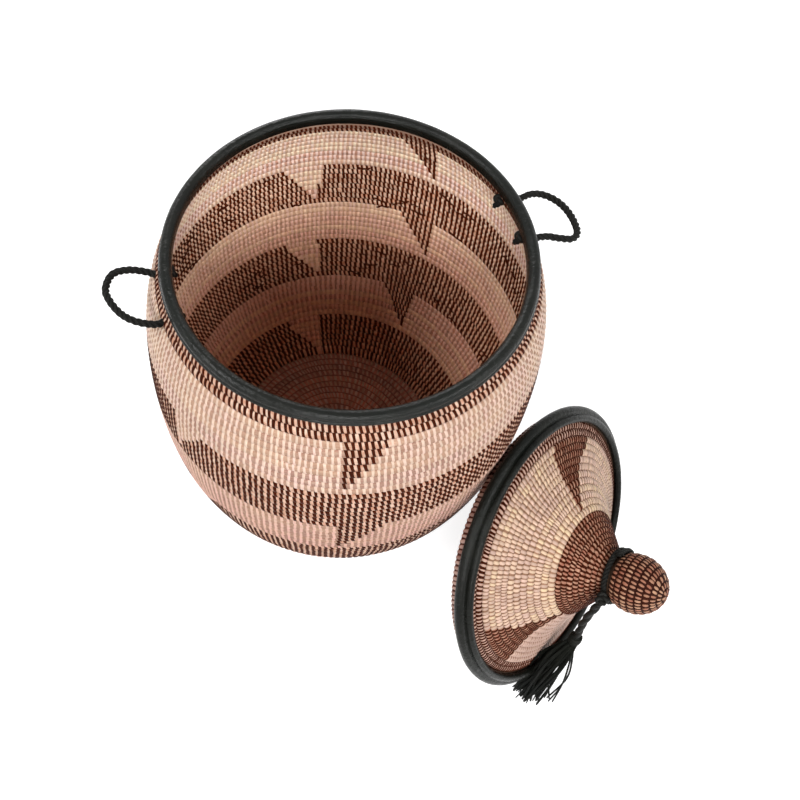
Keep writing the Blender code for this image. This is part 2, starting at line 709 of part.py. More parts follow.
def make_strands(look, pivot, root, down):
    """The fan of leather strands, fused at the root, with their ends on the floor."""
    curve = bpy.data.curves.new("strand_lines", "CURVE")
    curve.dimensions = "3D"
    curve.bevel_depth = STRAND_RADIUS
    curve.bevel_resolution = 0
    curve.use_fill_caps = True
    start = root + down * STRAND_ROOT_LENGTH / 2
    drop = (pivot.location + start).z - STRAND_RADIUS - CLEAR
    for index in range(STRAND_COUNT):
        add_spline(curve, strand_points(index, start, drop))
    lines = add_object("strand_lines", curve)
    mesh = bpy.data.meshes.new_from_object(lines)
    bpy.data.objects.remove(lines, do_unlink=True)
    shape = bmesh.new()
    shape.from_mesh(mesh)
    bmesh.ops.remove_doubles(shape, verts=shape.verts, dist=MERGE_DISTANCE)
    shape.to_mesh(mesh)
    shape.free()
    strands = add_cutter("strand_tubes", mesh, pivot)
    outline = [(0, 0), (STRAND_ROOT_RADIUS, 0), (STRAND_ROOT_RADIUS, STRAND_ROOT_LENGTH),
               (0, STRAND_ROOT_LENGTH)]
    made = turned("tassel_strands", outline, look, segments=KNOT_SEGMENTS, parent=pivot)
    made.location = root
    made.rotation_mode = "QUATERNION"
    made.rotation_quaternion = down.to_track_quat("Z", "Y")
    union = made.modifiers.new("Strands", "BOOLEAN")
    union.operation = "UNION"
    union.solver = "EXACT"
    union.use_self = True
    union.object = strands


def main():
    """Build the basket, the lid and the tassel."""
    clear_scene()
    looks = make_materials()
    make_base(looks)
    make_wall(looks)
    make_rim_binding(looks)
    make_handles(looks)
    frame, placed = make_lid_frame()
    make_lid_shell(looks, frame)
    turned("lid_collar", lid_collar_outline(), looks["collar coil"], closed=True, parent=frame)
    turned("lid_binding", lid_binding_outline(), looks["lid leather"], closed=True, parent=frame)
    make_knob(looks, frame)
    make_tie(looks, frame)
    make_tassel(looks, placed @ tie_knot_place())


main()
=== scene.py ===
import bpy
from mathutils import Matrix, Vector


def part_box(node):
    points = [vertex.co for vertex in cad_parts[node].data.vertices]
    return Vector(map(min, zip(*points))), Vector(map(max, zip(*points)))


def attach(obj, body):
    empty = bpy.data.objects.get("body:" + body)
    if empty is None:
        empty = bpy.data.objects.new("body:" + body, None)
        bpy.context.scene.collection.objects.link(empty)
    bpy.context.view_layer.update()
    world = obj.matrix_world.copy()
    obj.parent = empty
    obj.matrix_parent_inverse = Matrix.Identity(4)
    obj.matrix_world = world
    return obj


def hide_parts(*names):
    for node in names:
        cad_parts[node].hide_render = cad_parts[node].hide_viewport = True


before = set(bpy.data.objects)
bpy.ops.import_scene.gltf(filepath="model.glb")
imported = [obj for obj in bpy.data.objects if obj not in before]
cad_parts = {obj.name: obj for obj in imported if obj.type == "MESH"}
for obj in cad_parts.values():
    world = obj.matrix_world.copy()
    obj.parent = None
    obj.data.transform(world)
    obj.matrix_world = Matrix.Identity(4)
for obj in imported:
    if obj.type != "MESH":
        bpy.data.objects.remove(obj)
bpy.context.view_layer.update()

import math

import bmesh
import bpy
import numpy as np
from bpy.props import FloatProperty, FloatVectorProperty, IntProperty, PointerProperty
from mathutils import Euler, Matrix, Vector

bl_info = {
    "name": "Coiled laundry basket",
    "version": (1, 0, 0),
    "blender": (4, 5, 0),
    "location": "View3D > Sidebar > Basket",
    "description": "Dresses a coiled grass hamper, its leather rim, cord handles and lid",
    "category": "Object",
}

MM = 0.001
TURN = 2 * math.pi
CLEAR = 0.3 * MM

# The wall's outer line, as in the solid
BODY_HEIGHT = 472 * MM
WALL_RADII = tuple(radius * MM for radius in (160, 183.6, 208.6, 223, 220.3, 207.2, 179.7))
WALL_HEIGHT_SHARES = (0, 0.1, 0.25, 0.45, 0.65, 0.85, 1)
WALL_CURVE_DEGREE = 5
WALL_THICKNESS = 9.9 * MM
WALL_ROWS = 50
FOOT_ROWS = 2
BASE_THICKNESS = 9.8 * MM
BASE_RADIUS = 149.8 * MM
BASE_OVERLAP = MM
BASE_UNDER = 1.3 * MM
BASE_ROWS = 15
BASE_STITCH = 7 * MM
BASE_DEPTH = 0.8
BASE_SEGMENTS = 96
WALL_CURVE = np.polynomial.Polynomial.fit(
    np.array(WALL_HEIGHT_SHARES) * BODY_HEIGHT, WALL_RADII, WALL_CURVE_DEGREE)

# Points along a row: of a line, of a turned wall's outline, and of the other outlines
LINE_POINTS = 8
WALL_STEPS = (0, 0.14, 0.32, 0.5, 0.68, 0.86)
ROW_POINTS = 6

# Rows of each colour from the rim down, dark first, and the stepped wedges below each band
WALL_BANDS = (2, 8, 8, 8, 8, 8, 8)
WEDGE_ROWS = 7
DARK_WEDGES = (math.radians(268), math.radians(56))
CREAM_WEDGES = (math.radians(215), math.radians(97))
STITCH_ROWS = (0, 24, 28, 35, 39, 44, 49)
STITCH_COUNTS = (210, 208, 195, 185, 165, 150, 136)

# A strip's foot in the coil, and the ends that lie loose on the rows inside
STRIP_ROOT = 0.6 * MM
LOOSE_ENDS = 110
LOOSE_ROWS = (2, 42)
LOOSE_RADIUS = 0.9 * MM

# How a row's tone changes: rows before it repeats, and columns round the basket
TONE_ROWS = 80
TONE_COLUMNS = 106

# Rim leather and the hidden coil that it is folded over
RIM_COIL_RADIUS = 174.22 * MM
RIM_COIL_HEIGHT = 478.5 * MM
RIM_CAVITY = 4.5 * MM
RIM_FOLD = 6 * MM
RIM_ROLL = 2.7 * MM
MOUTH_RADIUS = RIM_COIL_RADIUS - RIM_FOLD
LEATHER_FOOT = 472.3 * MM
COIL_HALF = 4.2 * MM
LEATHER_SEGMENTS = 220
LEATHER_WAVES = (5, 9, 14, 23, 37, 58)
LEATHER_SWELL = 0.16 * MM

# Handles: where each stands round the wall, its tilt, and its ends as the solids name them
HANDLE_CORD_RADIUS = 3.6 * MM
HANDLE_LAY = 17 * MM
HANDLE_HEIGHT = 457.6 * MM
HANDLE_HOLE_SPREAD = 27 * MM
HANDLE_ROOT = 3.2 * MM
HANDLE_KNOT_RADIUS = 8 * MM
HANDLES = {
    "handle_left": (math.radians(192.9), math.radians(20), ("back", "front")),
    "handle_right": (math.radians(17.2), math.radians(-8), ("front", "back")),
}
HANDLE_BOWS = {
    "handle_left": ((7, 29.8), (23, 27), (35.5, 19.5), (44.5, 6), (47.8, -9), (40, -26.5),
                    (24, -32.5), (6, -30.5)),
    "handle_right": ((9, 25), (21, 28), (33, 26.5), (44, 18.5), (51, 6), (53, -11), (49.5, -28),
                     (40, -35), (26, -31.5), (16, -27.5), (6, -26.5)),
}

# The lid in its own frame, measured up its axis, and where it stands
LID_PLACE = Vector((251.23, -200.56, 147.45)) * MM
LID_TURN = Euler((0, math.radians(56.6), math.radians(-37.3)), "XYZ")
LID_MATRIX = Matrix.Translation(LID_PLACE) @ LID_TURN.to_matrix().to_4x4()
LID_COIL_RADIUS = 173.5 * MM
LID_COIL_HEIGHT = 6 * MM
LID_CAVITY = 4.5 * MM
LID_FOLD = 6 * MM
LID_BEAD = 4.6 * MM
LID_BEAD_RADIUS = 166.1 * MM
LID_BEAD_HEIGHT = 13.3 * MM
LID_SHOULDER_RADIUS = 161.2 * MM
LID_TOP = 10.2 * MM
LID_UNDER = 1.8 * MM
LID_HOLLOW_LEAST = 6 * MM
NECK_RADIUS = 25.2 * MM
NECK_TOP = 99.8 * MM
LID_CONE_RISE = 81.4 * MM
LID_RADIUS_SHARES = (1, 0.843, 0.6, 0.42, 0.295, 0.18, 0.07, 0)
LID_RISE_SHARES = (0, 0.104, 0.248, 0.42, 0.575, 0.735, 0.889, 1)
LID_BAND_POINTS = 5
LID_BAND_ROWS = 13
LID_CONE_ROWS = 8
LID_ROWS = LID_BAND_ROWS + LID_CONE_ROWS
LID_DARK_ROWS = 2
LID_WEDGES = (math.radians(156), math.radians(287), math.radians(41))
LID_WEDGE_SPAN = math.radians(34)
LID_PINK_SIDE = math.radians(325)
LID_STITCH = 5.1 * MM
LID_THICKNESS = 9.9 * MM
LID_SEGMENTS = 120
COLLAR_RADIUS = 166 * MM
COLLAR_THICKNESS = 9.8 * MM
COLLAR_DEPTH = 13.5 * MM
COLLAR_SINK = 0.4 * MM
COLLAR_ROWS = 2
COLLAR_STITCHES = 170
KNOB_RADIUS = 33.7 * MM
KNOB_FOOT = 100.1 * MM
KNOB_HEIGHT = 118.55 * MM
KNOB_DIMPLE = 0.6 * MM
KNOB_ROWS = 9
KNOB_STITCH = 5.2 * MM
KNOB_DEPTH = 0.8
KNOB_SEGMENTS = 64

# The cord round the neck
TIE_CORD_RADIUS = 3.2 * MM
TIE_LOW = 92.8 * MM
TIE_START = math.radians(-92)
TIE_TURNS = 1.72
TIE_BIGHT = ((46, 0, 0), (54, 5, 1.5), (64, 8.5, 3), (74, 8, 3.5), (83, 4.5, 3), (91, 0, 2))
TIE_KNOT_ANGLE = math.radians(-105)
TIE_KNOT_RADIUS = 6.5 * MM
TIE_KNOT_REACH = 43.6 * MM
TIE_KNOT_HEIGHT = 98.906 * MM

# The tassel
TASSEL_CORD_RADIUS = 4.6 * MM
TASSEL_CORD_LENGTH = 92 * MM
TASSEL_CORD_LAY = 46 * MM
TASSEL_CORD_BOW = 3 * MM
TASSEL_SLANT = math.radians(14)
TASSEL_HEADING = math.radians(-84)
TASSEL_HEAD_RADIUS = 7.5 * MM
TASSEL_HEAD_LENGTH = 17 * MM
TASSEL_HEAD_TURNS = 5.5
STRAND_HEADING = math.radians(-108)
STRAND_SPREAD = math.radians(58)
STRAND_REACH = 74 * MM
STRAND_ROOT = 5.2 * MM
LOOSE_STRANDS = 5

# The photograph's camera, and the light
CAMERA_PLACE = (-36.2 * MM, -422.1 * MM, 1027.9 * MM)
CAMERA_TILT = math.radians(25.62)
CAMERA_LENS = 32.155
CAMERA_SENSOR = 36
CAMERA_SHIFT = 0.11125
FLOOR_RADIUS = 3.2
FLOOR_PLACE = (0.05, -0.05, -0.0004)
FLOOR_GLOW = 0.84
LIGHT_AIM = Vector((0.08, -0.1, 0.25))
LIGHTS = {
    "front": ((-0.05, -1.85, 1.72), 0.8),
    "low": ((0.0, -2.2, 0.95), 1.5),
    "left": ((-1.7, -0.5, 2.25), 1.0),
    "right": ((1.65, -1.0, 1.85), 1.0),
    "back": ((-0.3, 2.1, 1.5), 1.2),
}


def share_setting(name, description, default):
    """A strip's width as a share of the stitch."""
    return FloatProperty(name=name, description=description, default=default,
                         min=0.1, max=1, subtype="FACTOR")


def colour_setting(name, description, default):
    """A colour that a user can change."""
    return FloatVectorProperty(name=name, description=description, subtype="COLOR",
                               default=default, min=0, max=1)


def power_setting(name, description, default):
    """The power of a light."""
    return FloatProperty(name=name, description=description, default=default,
                         min=0, unit="POWER")


class BasketSizes(bpy.types.PropertyGroup):
    """Sizes of the coil and of the strips that stitch it."""
    groove: FloatProperty(
        name="Groove", description="Depth of the groove between two rows of coil",
        default=1.5 * MM, min=0, unit="LENGTH")
    strip_lift: FloatProperty(
        name="Strip lift", description="How far a strip stands proud of the coil",
        default=0.6 * MM, min=0, unit="LENGTH")
    dark_share: share_setting("Dark strip width", "Share of the stitch, outside and in", 0.70)
    cream_share: share_setting("Cream strip width", "Share of the stitch outside", 0.56)
    inner_cream_share: share_setting("Inner cream strip width", "Share inside", 0.66)
    lid_dark_share: share_setting("Lid dark strip width", "Share on the lid", 0.72)
    lid_cream_share: share_setting("Lid cream strip width", "Share on the lid", 0.82)
    slant: FloatProperty(
        name="Slant", description="How far a strip leans over one row, in stitches",
        default=0.34, min=-2, max=2)
    segments: IntProperty(
        name="Segments", description="Steps of the turned wall round its axis",
        default=144, min=24, max=480)
    strand_count: IntProperty(
        name="Strands", description="Leather strands in the tassel", default=84, min=3, max=120)


class BasketColours(bpy.types.PropertyGroup):
    """Colours of the grass, the strips, the leather and the cord."""
    cream: colour_setting("Cream strip", "The yellower cream strips", (0.73, 0.555, 0.43))
    cream_pink: colour_setting("Pink strip", "The pinker cream strips", (0.72, 0.50, 0.44))
    # The inner strip colours are lighter copies of the outer ones: painted light on the inner
    # wall.
    inner_cream: colour_setting("Inner cream strip", "The yellower ones inside",
                                (1.0, 0.85, 0.64))
    inner_pink: colour_setting("Inner pink strip", "The pinker ones inside",
                               (0.98, 0.73, 0.66))
    dark: colour_setting("Dark strip", "The nearly black strips", (0.036, 0.0062, 0.0015))
    gap: colour_setting("Grass", "Grass between cream strips", (0.43, 0.245, 0.16))
    gap_pink: colour_setting("Pink grass", "Pinker rows of that grass", (0.28, 0.13, 0.105))
    # The inner grass is a lighter copy of the outer grass: painted light on the inner wall.
    gap_inside: colour_setting("Inner grass", "That grass inside", (0.88, 0.60, 0.40))
    gap_inside_pink: colour_setting("Inner pink grass", "Pinker rows of it",
                                    (0.56, 0.24, 0.17))
    grain: colour_setting("Pale grass", "Grass between dark strips", (1.0, 0.76, 0.59))
    grain_red: colour_setting("Salmon grass", "The redder of that grass", (0.74, 0.34, 0.20))
    lid_cream: colour_setting("Lid cream strip", "The lid's yellower cream strips",
                              (0.70, 0.525, 0.335))
    lid_cream_pink: colour_setting("Lid pink strip", "The lid's pinker ones",
                                   (0.67, 0.455, 0.37))
    lid_gap: colour_setting("Lid grass", "Grass between the lid's cream strips",
                            (0.32, 0.18, 0.11))
    lid_grain: colour_setting("Lid pale grass", "Grass between the lid's dark strips",
                              (0.49, 0.275, 0.185))
    lid_grain_red: colour_setting("Lid red grass", "The redder of that grass",
                                  (0.29, 0.09, 0.055))
    leather: colour_setting("Leather", "The rim, the lid's edge and the tassel",
                            (0.0070, 0.0073, 0.0058))
    cord: colour_setting("Cord", "The handle and neck cords", (0.0075, 0.0075, 0.0065))


class BasketStage(bpy.types.PropertyGroup):
    """The light that the basket stands in."""
    front: power_setting("Front light", "Power of the soft light in front", 36)
    low: power_setting("Low light", "Power of the wide light low in front", 3)
    left: power_setting("Left light", "Power of the soft light at the left", 33)
    right: power_setting("Right light", "Power of the soft light at the right", 23)
    back: power_setting("Back light", "Power of the soft light behind", 20)
    surround: FloatProperty(
        name="Surround", description="Strength of the plain light from all round",
        default=0.14, min=0)


# Lines that pieces are turned from

def arc(centre, radius, start, end, count):
    """Points on an arc, angles in degrees from the outward direction."""
    angles = np.radians(np.linspace(start, end, count))
    return [(centre[0] + radius * math.cos(a), centre[1] + radius * math.sin(a)) for a in angles]


def smooth_line(points, count):
    """Points on a Catmull-Rom curve through the given points, in any number of axes."""
    knots = np.array(points, dtype=float)
    knots = np.concatenate([[2 * knots[0] - knots[1]], knots, [2 * knots[-1] - knots[-2]]])
    places = np.linspace(0, len(points) - 1, count)
    starts = np.minimum(places.astype(int), len(points) - 2)
    t = (places - starts)[:, None]
    a, b, c, d = (knots[starts + step] for step in range(4))
    return 0.5 * (2 * b + (c - a) * t + (2 * a - 5 * b + 4 * c - d) * t ** 2
                  + (3 * b - a - 3 * c + d) * t ** 3)


def travelled(points):
    """How far along the polyline each of its points lies."""
    steps = np.linalg.norm(np.diff(points, axis=0), axis=1)
    return np.concatenate([[0], np.cumsum(steps)])


def spaced(points, count):
    """The polyline cut into count equal lengths."""
    points = np.array(points, dtype=float)
    along = travelled(points)
    wanted = np.linspace(0, along[-1], count + 1)
    return np.stack([np.interp(wanted, along, axis) for axis in points.T], axis=1)


def moved(points, matrix):
    """Points taken through a 4 x 4 matrix."""
    matrix = np.array(matrix)
    return points @ matrix[:3, :3].T + matrix[:3, 3]


def around(radius, angle, height):
    """Points from their radius, angle and height, as the last axis of an array."""
    return np.stack([radius * np.cos(angle), radius * np.sin(angle),
                     np.broadcast_to(height, np.shape(angle))], axis=-1)


class CoilLine:
    """Rows of coil along a line in the (radius, height) plane, with its normal on one side."""

    def __init__(self, points, side, first=0.0):
        self.points = np.array(points, dtype=float)
        self.rows = first + np.arange(len(self.points)) / LINE_POINTS
        slopes = np.gradient(self.points, axis=0)
        slopes /= np.linalg.norm(slopes, axis=1)[:, None]
        self.normals = side * np.stack([-slopes[:, 1], slopes[:, 0]], axis=1)

    def at(self, row, height=0.0):
        """Radius and height at a row coordinate, moved out along the normal."""
        place = [np.interp(row, self.rows, axis) for axis in self.points.T]
        out = [np.interp(row, self.rows, axis) for axis in self.normals.T]
        return place[0] + out[0] * height, place[1] + out[1] * height


def crest(across):
    """1 on the crest of a row and 0 in its grooves, for -0.5 to 0.5 across it."""
    round_part = np.sqrt(np.maximum(0, 1 - (1.9 * across) ** 2))
    low = math.sqrt(1 - 0.95 ** 2)
    return (round_part - low) / (1 - low)


def wall_outside():
    """The wall's outer rows, from the rim down."""
    heights = np.linspace(BODY_HEIGHT, 0, 400)
    line = np.stack([WALL_CURVE(heights), heights], axis=1)
    return CoilLine(spaced(line, WALL_ROWS * LINE_POINTS), 1)


def wall_inside():
    """The same rows on the inner face, which runs into the floor in its last rows."""
    rows = np.arange((WALL_ROWS - 1) * LINE_POINTS + 1) / LINE_POINTS
    radius, height = wall_outside().at(rows, -WALL_THICKNESS)
    share = np.maximum(0, rows - (WALL_ROWS - 1 - FOOT_ROWS)) / FOOT_ROWS
    radius += share ** 2 * (BASE_RADIUS + CLEAR - radius[-1])
    height += share ** 2 * (BASE_THICKNESS - height[-1])
    return CoilLine(np.stack([radius, height], axis=1), -1)


def lid_outside():
    """The lid's upper rows, from its edge to the neck."""
    span = LID_SHOULDER_RADIUS - NECK_RADIUS
    line = [(NECK_RADIUS + span * across, LID_TOP + LID_CONE_RISE * up)
            for across, up in zip(LID_RADIUS_SHARES, LID_RISE_SHARES)]
    dense = 40
    curve = smooth_line(line, (len(line) - 1) * dense + 1)
    split = (LID_BAND_POINTS - 1) * dense
    band = spaced(curve[:split + 1], LID_BAND_ROWS * LINE_POINTS)
    cone = spaced(curve[split:], LID_CONE_ROWS * LINE_POINTS)
    return CoilLine(np.concatenate([band, cone[1:]]), -1)


def lid_inside():
    """The same rows under the lid, from the collar to the hollow's top."""
    outside = lid_outside()
    radius, height = outside.at(outside.rows, -LID_THICKNESS)
    keep = ((radius > LID_HOLLOW_LEAST)
            & (radius < COLLAR_RADIUS - COLLAR_THICKNESS - MM))
    return CoilLine(np.stack([radius, height], axis=1)[keep], 1, outside.rows[keep][0])


def knob_outside():
    """The knob's rows, from the neck to its top."""
    foot = -math.degrees(math.asin((KNOB_HEIGHT - KNOB_FOOT) / KNOB_RADIUS))
    count = KNOB_ROWS * LINE_POINTS + 1
    return CoilLine(arc((0, KNOB_HEIGHT), KNOB_RADIUS, foot, 89.5, count), -1)


def base_face(height, side):
    """A face of the floor, from its middle to its edge, which lies in the wall."""
    radii = np.linspace(0, BASE_RADIUS + BASE_OVERLAP, BASE_ROWS * LINE_POINTS + 1)
    return CoilLine([(radius, height) for radius in radii], side)


def collar_face():
    """The collar's two rows: down its outer face, and up its inner face."""
    half = COLLAR_THICKNESS / 2
    middle = COLLAR_RADIUS - half
    low = half - COLLAR_DEPTH
    line = [(middle + half, 0)] + arc((middle, low), half, 0, -180, 17) + [(middle - half, 0)]
    return CoilLine(spaced(line, COLLAR_ROWS * LINE_POINTS), 1)


# The stitches' places and colours

def stitch_angles(counts, seed):
    """The stitches' angles in each row. A row follows the one before and adds or drops a few."""
    chance = np.random.default_rng(seed)
    rows = [np.arange(counts[0]) / counts[0] * TURN]
    for count in counts[1:]:
        angles = rows[-1].copy()
        while len(angles) != count:
            gaps = np.diff(np.append(angles, angles[0] + TURN))
            lots = gaps * chance.uniform(0.85, 1, len(gaps))
            if len(angles) < count:
                place = int(np.argmax(lots))
                angles = np.insert(angles, place + 1, angles[place] + gaps[place] / 2)
            else:
                angles = np.delete(angles, int(np.argmin(lots)))
        for _ in range(8):
            before = np.roll(angles, 1)
            after = np.roll(angles, -1)
            before[0] -= TURN
            after[-1] += TURN
            angles = (before + 2 * angles + after) / 4
        rows.append(angles)
    return rows


def wall_counts():
    """Stitches in each row of the wall, from the rim down."""
    return np.rint(np.interp(np.arange(WALL_ROWS), STITCH_ROWS, STITCH_COUNTS)).astype(int)


def ring_counts(line, rows, pitch):
    """Stitches in each row where they are a fixed length apart, five or more."""
    radius, _ = line.at(np.arange(rows) + 0.5)
    return np.maximum(np.rint(TURN * radius / pitch), 5).astype(int)


def wall_dark(row, angles):
    """Whether the stitches at these angles of a row of the wall are dark."""
    edges = np.cumsum(WALL_BANDS)
    band = int(np.searchsorted(edges, row, side="right"))
    dark = np.full(np.shape(angles), band % 2 == 0)
    if band and row - edges[band - 1] < WEDGE_ROWS:
        width = WEDGE_ROWS - (row - edges[band - 1])
        span = width * TURN / wall_counts()[row]
        above_dark = band % 2 == 1
        for start in DARK_WEDGES if above_dark else CREAM_WEDGES:
            dark = np.where((angles - start) % TURN < span, above_dark, dark)
    return dark


def lid_dark(row, angles):
    """Whether the stitches at these angles of a row of the lid are dark."""
    if not LID_DARK_ROWS <= row < LID_BAND_ROWS:
        return np.full(np.shape(angles), True)
    share = (row + 0.5 - LID_DARK_ROWS) / (LID_BAND_ROWS - LID_DARK_ROWS)
    return np.any([(end - angles) % TURN < LID_WEDGE_SPAN * (1 - share)
                   for end in LID_WEDGES], axis=0)


def none_dark(row, angles):
    """The pattern of a piece with strips of one colour."""
    return np.full(np.shape(angles), False)


def row_tone(row, angles, seed, streaky):
    """How pink a row's strips are, 0 to 1: by row, and by column where it is streaky."""
    lots = np.random.default_rng(seed).uniform(-0.5, 1.5, TONE_ROWS)
    by_row = np.clip(lots[row % TONE_ROWS], 0, 1)
    columns = np.random.default_rng(seed + 1).uniform(0, 1, TONE_COLUMNS)
    columns[-1] = columns[0]
    by_column = np.interp(np.mod(angles, TURN) / TURN, np.linspace(0, 1, TONE_COLUMNS), columns)
    return np.clip(by_row * (1 - streaky) + by_column * streaky, 0, 1)


def split_rows(rows, angles_by_row, is_dark, seed, streaky=0.3, blush=None):
    """The stitches of each row, each a little different, as dark ones and cream ones.

    blush is an angle round which the strips are pinker.
    """
    chance = np.random.default_rng(seed)
    dark_rows, cream_rows = [], []
    for row in rows:
        angles = angles_by_row[row]
        count = len(angles)
        pitch = TURN / count
        placed = angles + chance.normal(0, 0.05, count) * pitch
        shade = chance.uniform(0, 1, count)
        room = np.diff(np.append(angles, angles[0] + TURN))
        room = (room + np.roll(room, 1)) / 2 / pitch
        wide = np.clip(chance.normal(1, 0.08, count), 0.8, 1.2) * np.clip(room, 0.5, 1.3)
        lean = chance.normal(0, 0.07, count)
        tone = np.clip(row_tone(row, angles, seed, streaky) + chance.normal(0, 0.12, count), 0, 1)
        if blush is not None:
            near = np.clip((np.cos(angles - blush) - 0.7) / (0.9 - 0.7), 0, 1)
            tone = np.clip(tone + near, 0, 1)
            shade = np.maximum(shade, 0.95 * near)
        dark = is_dark(row, angles)
        for chosen_rows, chosen in ((dark_rows, dark), (cream_rows, ~dark)):
            if chosen.any():
                chosen_rows.append((row, pitch, placed[chosen], shade[chosen], tone[chosen],
                                    wide[chosen], lean[chosen]))
    return dark_rows, cream_rows


# Modelling

def deselect():
    """Leave edit mode and select nothing."""
    if bpy.context.mode != "OBJECT":
        bpy.ops.object.mode_set(mode="OBJECT")
    bpy.ops.object.select_all(action="DESELECT")


def smooth_piece(piece, angle=180):
    """Smooth shading, with edges sharper than the angle left sharp."""
    deselect()
    piece.select_set(True)
    bpy.context.view_layer.objects.active = piece
    if angle < 180:
        bpy.ops.object.shade_smooth_by_angle(angle=math.radians(angle))
    else:
        bpy.ops.object.shade_smooth()


def point_values(mesh, name, values):
    """A number or vector for each vertex, kept as an attribute that materials read."""
    values = np.asarray(values, dtype=np.float32)
    kind, key = ("FLOAT", "value") if values.ndim == 1 else ("FLOAT_VECTOR", "vector")
    layer = mesh.attributes.get(name) or mesh.attributes.new(name, kind, "POINT")
    layer.data.foreach_set(key, values.ravel())


def read_points(mesh):
    """The mesh's vertices as an array."""
    places = np.empty(len(mesh.vertices) * 3, dtype=np.float32)
    mesh.vertices.foreach_get("co", places)
    return places.reshape(-1, 3).astype(float)


def write_points(mesh, places):
    """Move the mesh's vertices."""
    mesh.vertices.foreach_set("co", np.asarray(places, dtype=np.float32).ravel())
    mesh.update()


def turned(name, outline, segments, marks=None):
    """A closed outline in the (radius, height) plane, spun round the Z axis."""
    deselect()
    bpy.ops.mesh.primitive_circle_add(vertices=len(outline), radius=BASE_RADIUS)
    piece = bpy.context.active_object
    piece.name = name
    piece.data.name = name
    write_points(piece.data, [(radius, 0, height) for radius, height in outline])
    for mark, values in (marks or {}).items():
        point_values(piece.data, mark, values)
    bpy.ops.object.mode_set(mode="EDIT")
    bpy.ops.mesh.select_all(action="SELECT")
    bpy.ops.mesh.spin(steps=segments, angle=TURN, center=(0, 0, 0), axis=(0, 0, 1))
    bpy.ops.mesh.select_all(action="SELECT")
    bpy.ops.mesh.remove_doubles(threshold=0.01 * MM)
    bpy.ops.mesh.delete_loose()
    bpy.ops.mesh.select_all(action="SELECT")
    bpy.ops.mesh.normals_make_consistent(inside=False)
    bpy.ops.object.mode_set(mode="OBJECT")
    point_values(piece.data, "coil_place", read_points(piece.data))
    return piece


def new_piece(name, places, faces, values=None):
    """A piece from points and faces, with its attributes."""
    mesh = bpy.data.meshes.new(name)
    mesh.from_pydata(np.asarray(places).tolist(), [], faces)
    mesh.update()
    for key, numbers in (values or {}).items():
        point_values(mesh, key, numbers)
    piece = bpy.data.objects.new(name, mesh)
    bpy.context.collection.objects.link(piece)
    smooth_piece(piece)
    return piece


def finish_piece(piece, look, body, nodes=()):
    """Give a piece its material, its body and the solids that it stands for."""
    piece.data.materials.clear()
    piece.data.materials.append(look)
    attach(piece, body)
    if nodes:
        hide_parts(*nodes)
    return piece


def place_in_lid(piece, body):
    """Take a piece of the lid from the lid's own frame to where the lid stands."""
    if body == "lid":
        piece.data.transform(LID_MATRIX)
        piece.data.update()


def row_points(line, places, groove, inside=0):
    """Outline points along rows of coil: radius, height, row, groove mark and side."""
    mark = 1 - crest(places % 1 - 0.5)
    radius, height = line.at(places, -groove * mark)
    return np.stack([radius, height, places, mark, np.full(len(places), inside)], axis=1)


def row_steps(rows):
    """Places along the rows for row_points."""
    return np.arange(rows * ROW_POINTS + 1) / ROW_POINTS


def corners(row, *spots):
    """Outline points between the rows, marked as grooves of one row."""
    return [(radius, height, row, 1, 0) for radius, height in spots]


def coil_piece(name, outline, segments, pattern, look, body, node, climb=0):
    """A coil turned from row_points and corners, marked for its material.

    pattern is (is_dark, rows, seed). climb is 1 or -1 on a flat coil, where the fibres'
    place across the coil is their radius and that much of their height.
    """
    outline = np.array(outline, dtype=float)
    coil = turned(name, outline[:, :2], segments,
                  dict(zip(("row", "groove", "inside"), outline[:, 2:].T)))
    mesh = coil.data
    place = np.empty(len(mesh.vertices), dtype=np.float32)
    mesh.attributes["row"].data.foreach_get("value", place)
    is_dark, rows, seed = pattern
    number = np.clip(np.floor(place), 0, rows - 1).astype(int)
    spots = read_points(mesh)
    angles = np.arctan2(spots[:, 1], spots[:, 0])
    dark = np.zeros(len(spots))
    tone = np.zeros(len(spots))
    for row in np.unique(number):
        here = number == row
        dark[here] = is_dark(row, angles[here])
        tone[here] = row_tone(row, angles[here], seed, 0.3)
    point_values(mesh, "dark", dark)
    point_values(mesh, "tone", tone)
    if climb:
        spots[:, 2] = np.hypot(spots[:, 0], spots[:, 1]) + climb * spots[:, 2]
        point_values(mesh, "coil_place", spots)
    smooth_piece(coil, 60)
    place_in_lid(coil, body)
    finish_piece(coil, look, body, [node])


def strip_unit():
    """One strip, modelled as a domed bar: u across, v along its row, w out. Points and faces."""
    deselect()
    bpy.ops.mesh.primitive_cube_add(size=1)
    unit = bpy.context.active_object
    bpy.ops.object.mode_set(mode="EDIT")
    for place in (-0.3, 0, 0.3):
        bpy.ops.mesh.select_all(action="SELECT")
        bpy.ops.mesh.bisect(plane_co=(0, place, 0), plane_no=(0, 1, 0))
    bpy.ops.mesh.select_all(action="DESELECT")
    shape = bmesh.from_edit_mesh(unit.data)
    for corner in shape.verts:
        corner.select = corner.co.z > 0
    shape.select_flush(True)
    bmesh.update_edit_mesh(unit.data)
    bpy.ops.transform.resize(value=(0.6, 1, 1))
    bpy.ops.mesh.select_all(action="SELECT")
    bpy.ops.mesh.normals_make_consistent(inside=False)
    bpy.ops.object.mode_set(mode="OBJECT")
    places = read_points(unit.data)
    places[:, 2] += 0.5
    faces = [list(face.vertices) for face in unit.data.polygons]
    bpy.data.objects.remove(unit, do_unlink=True)
    return places, faces


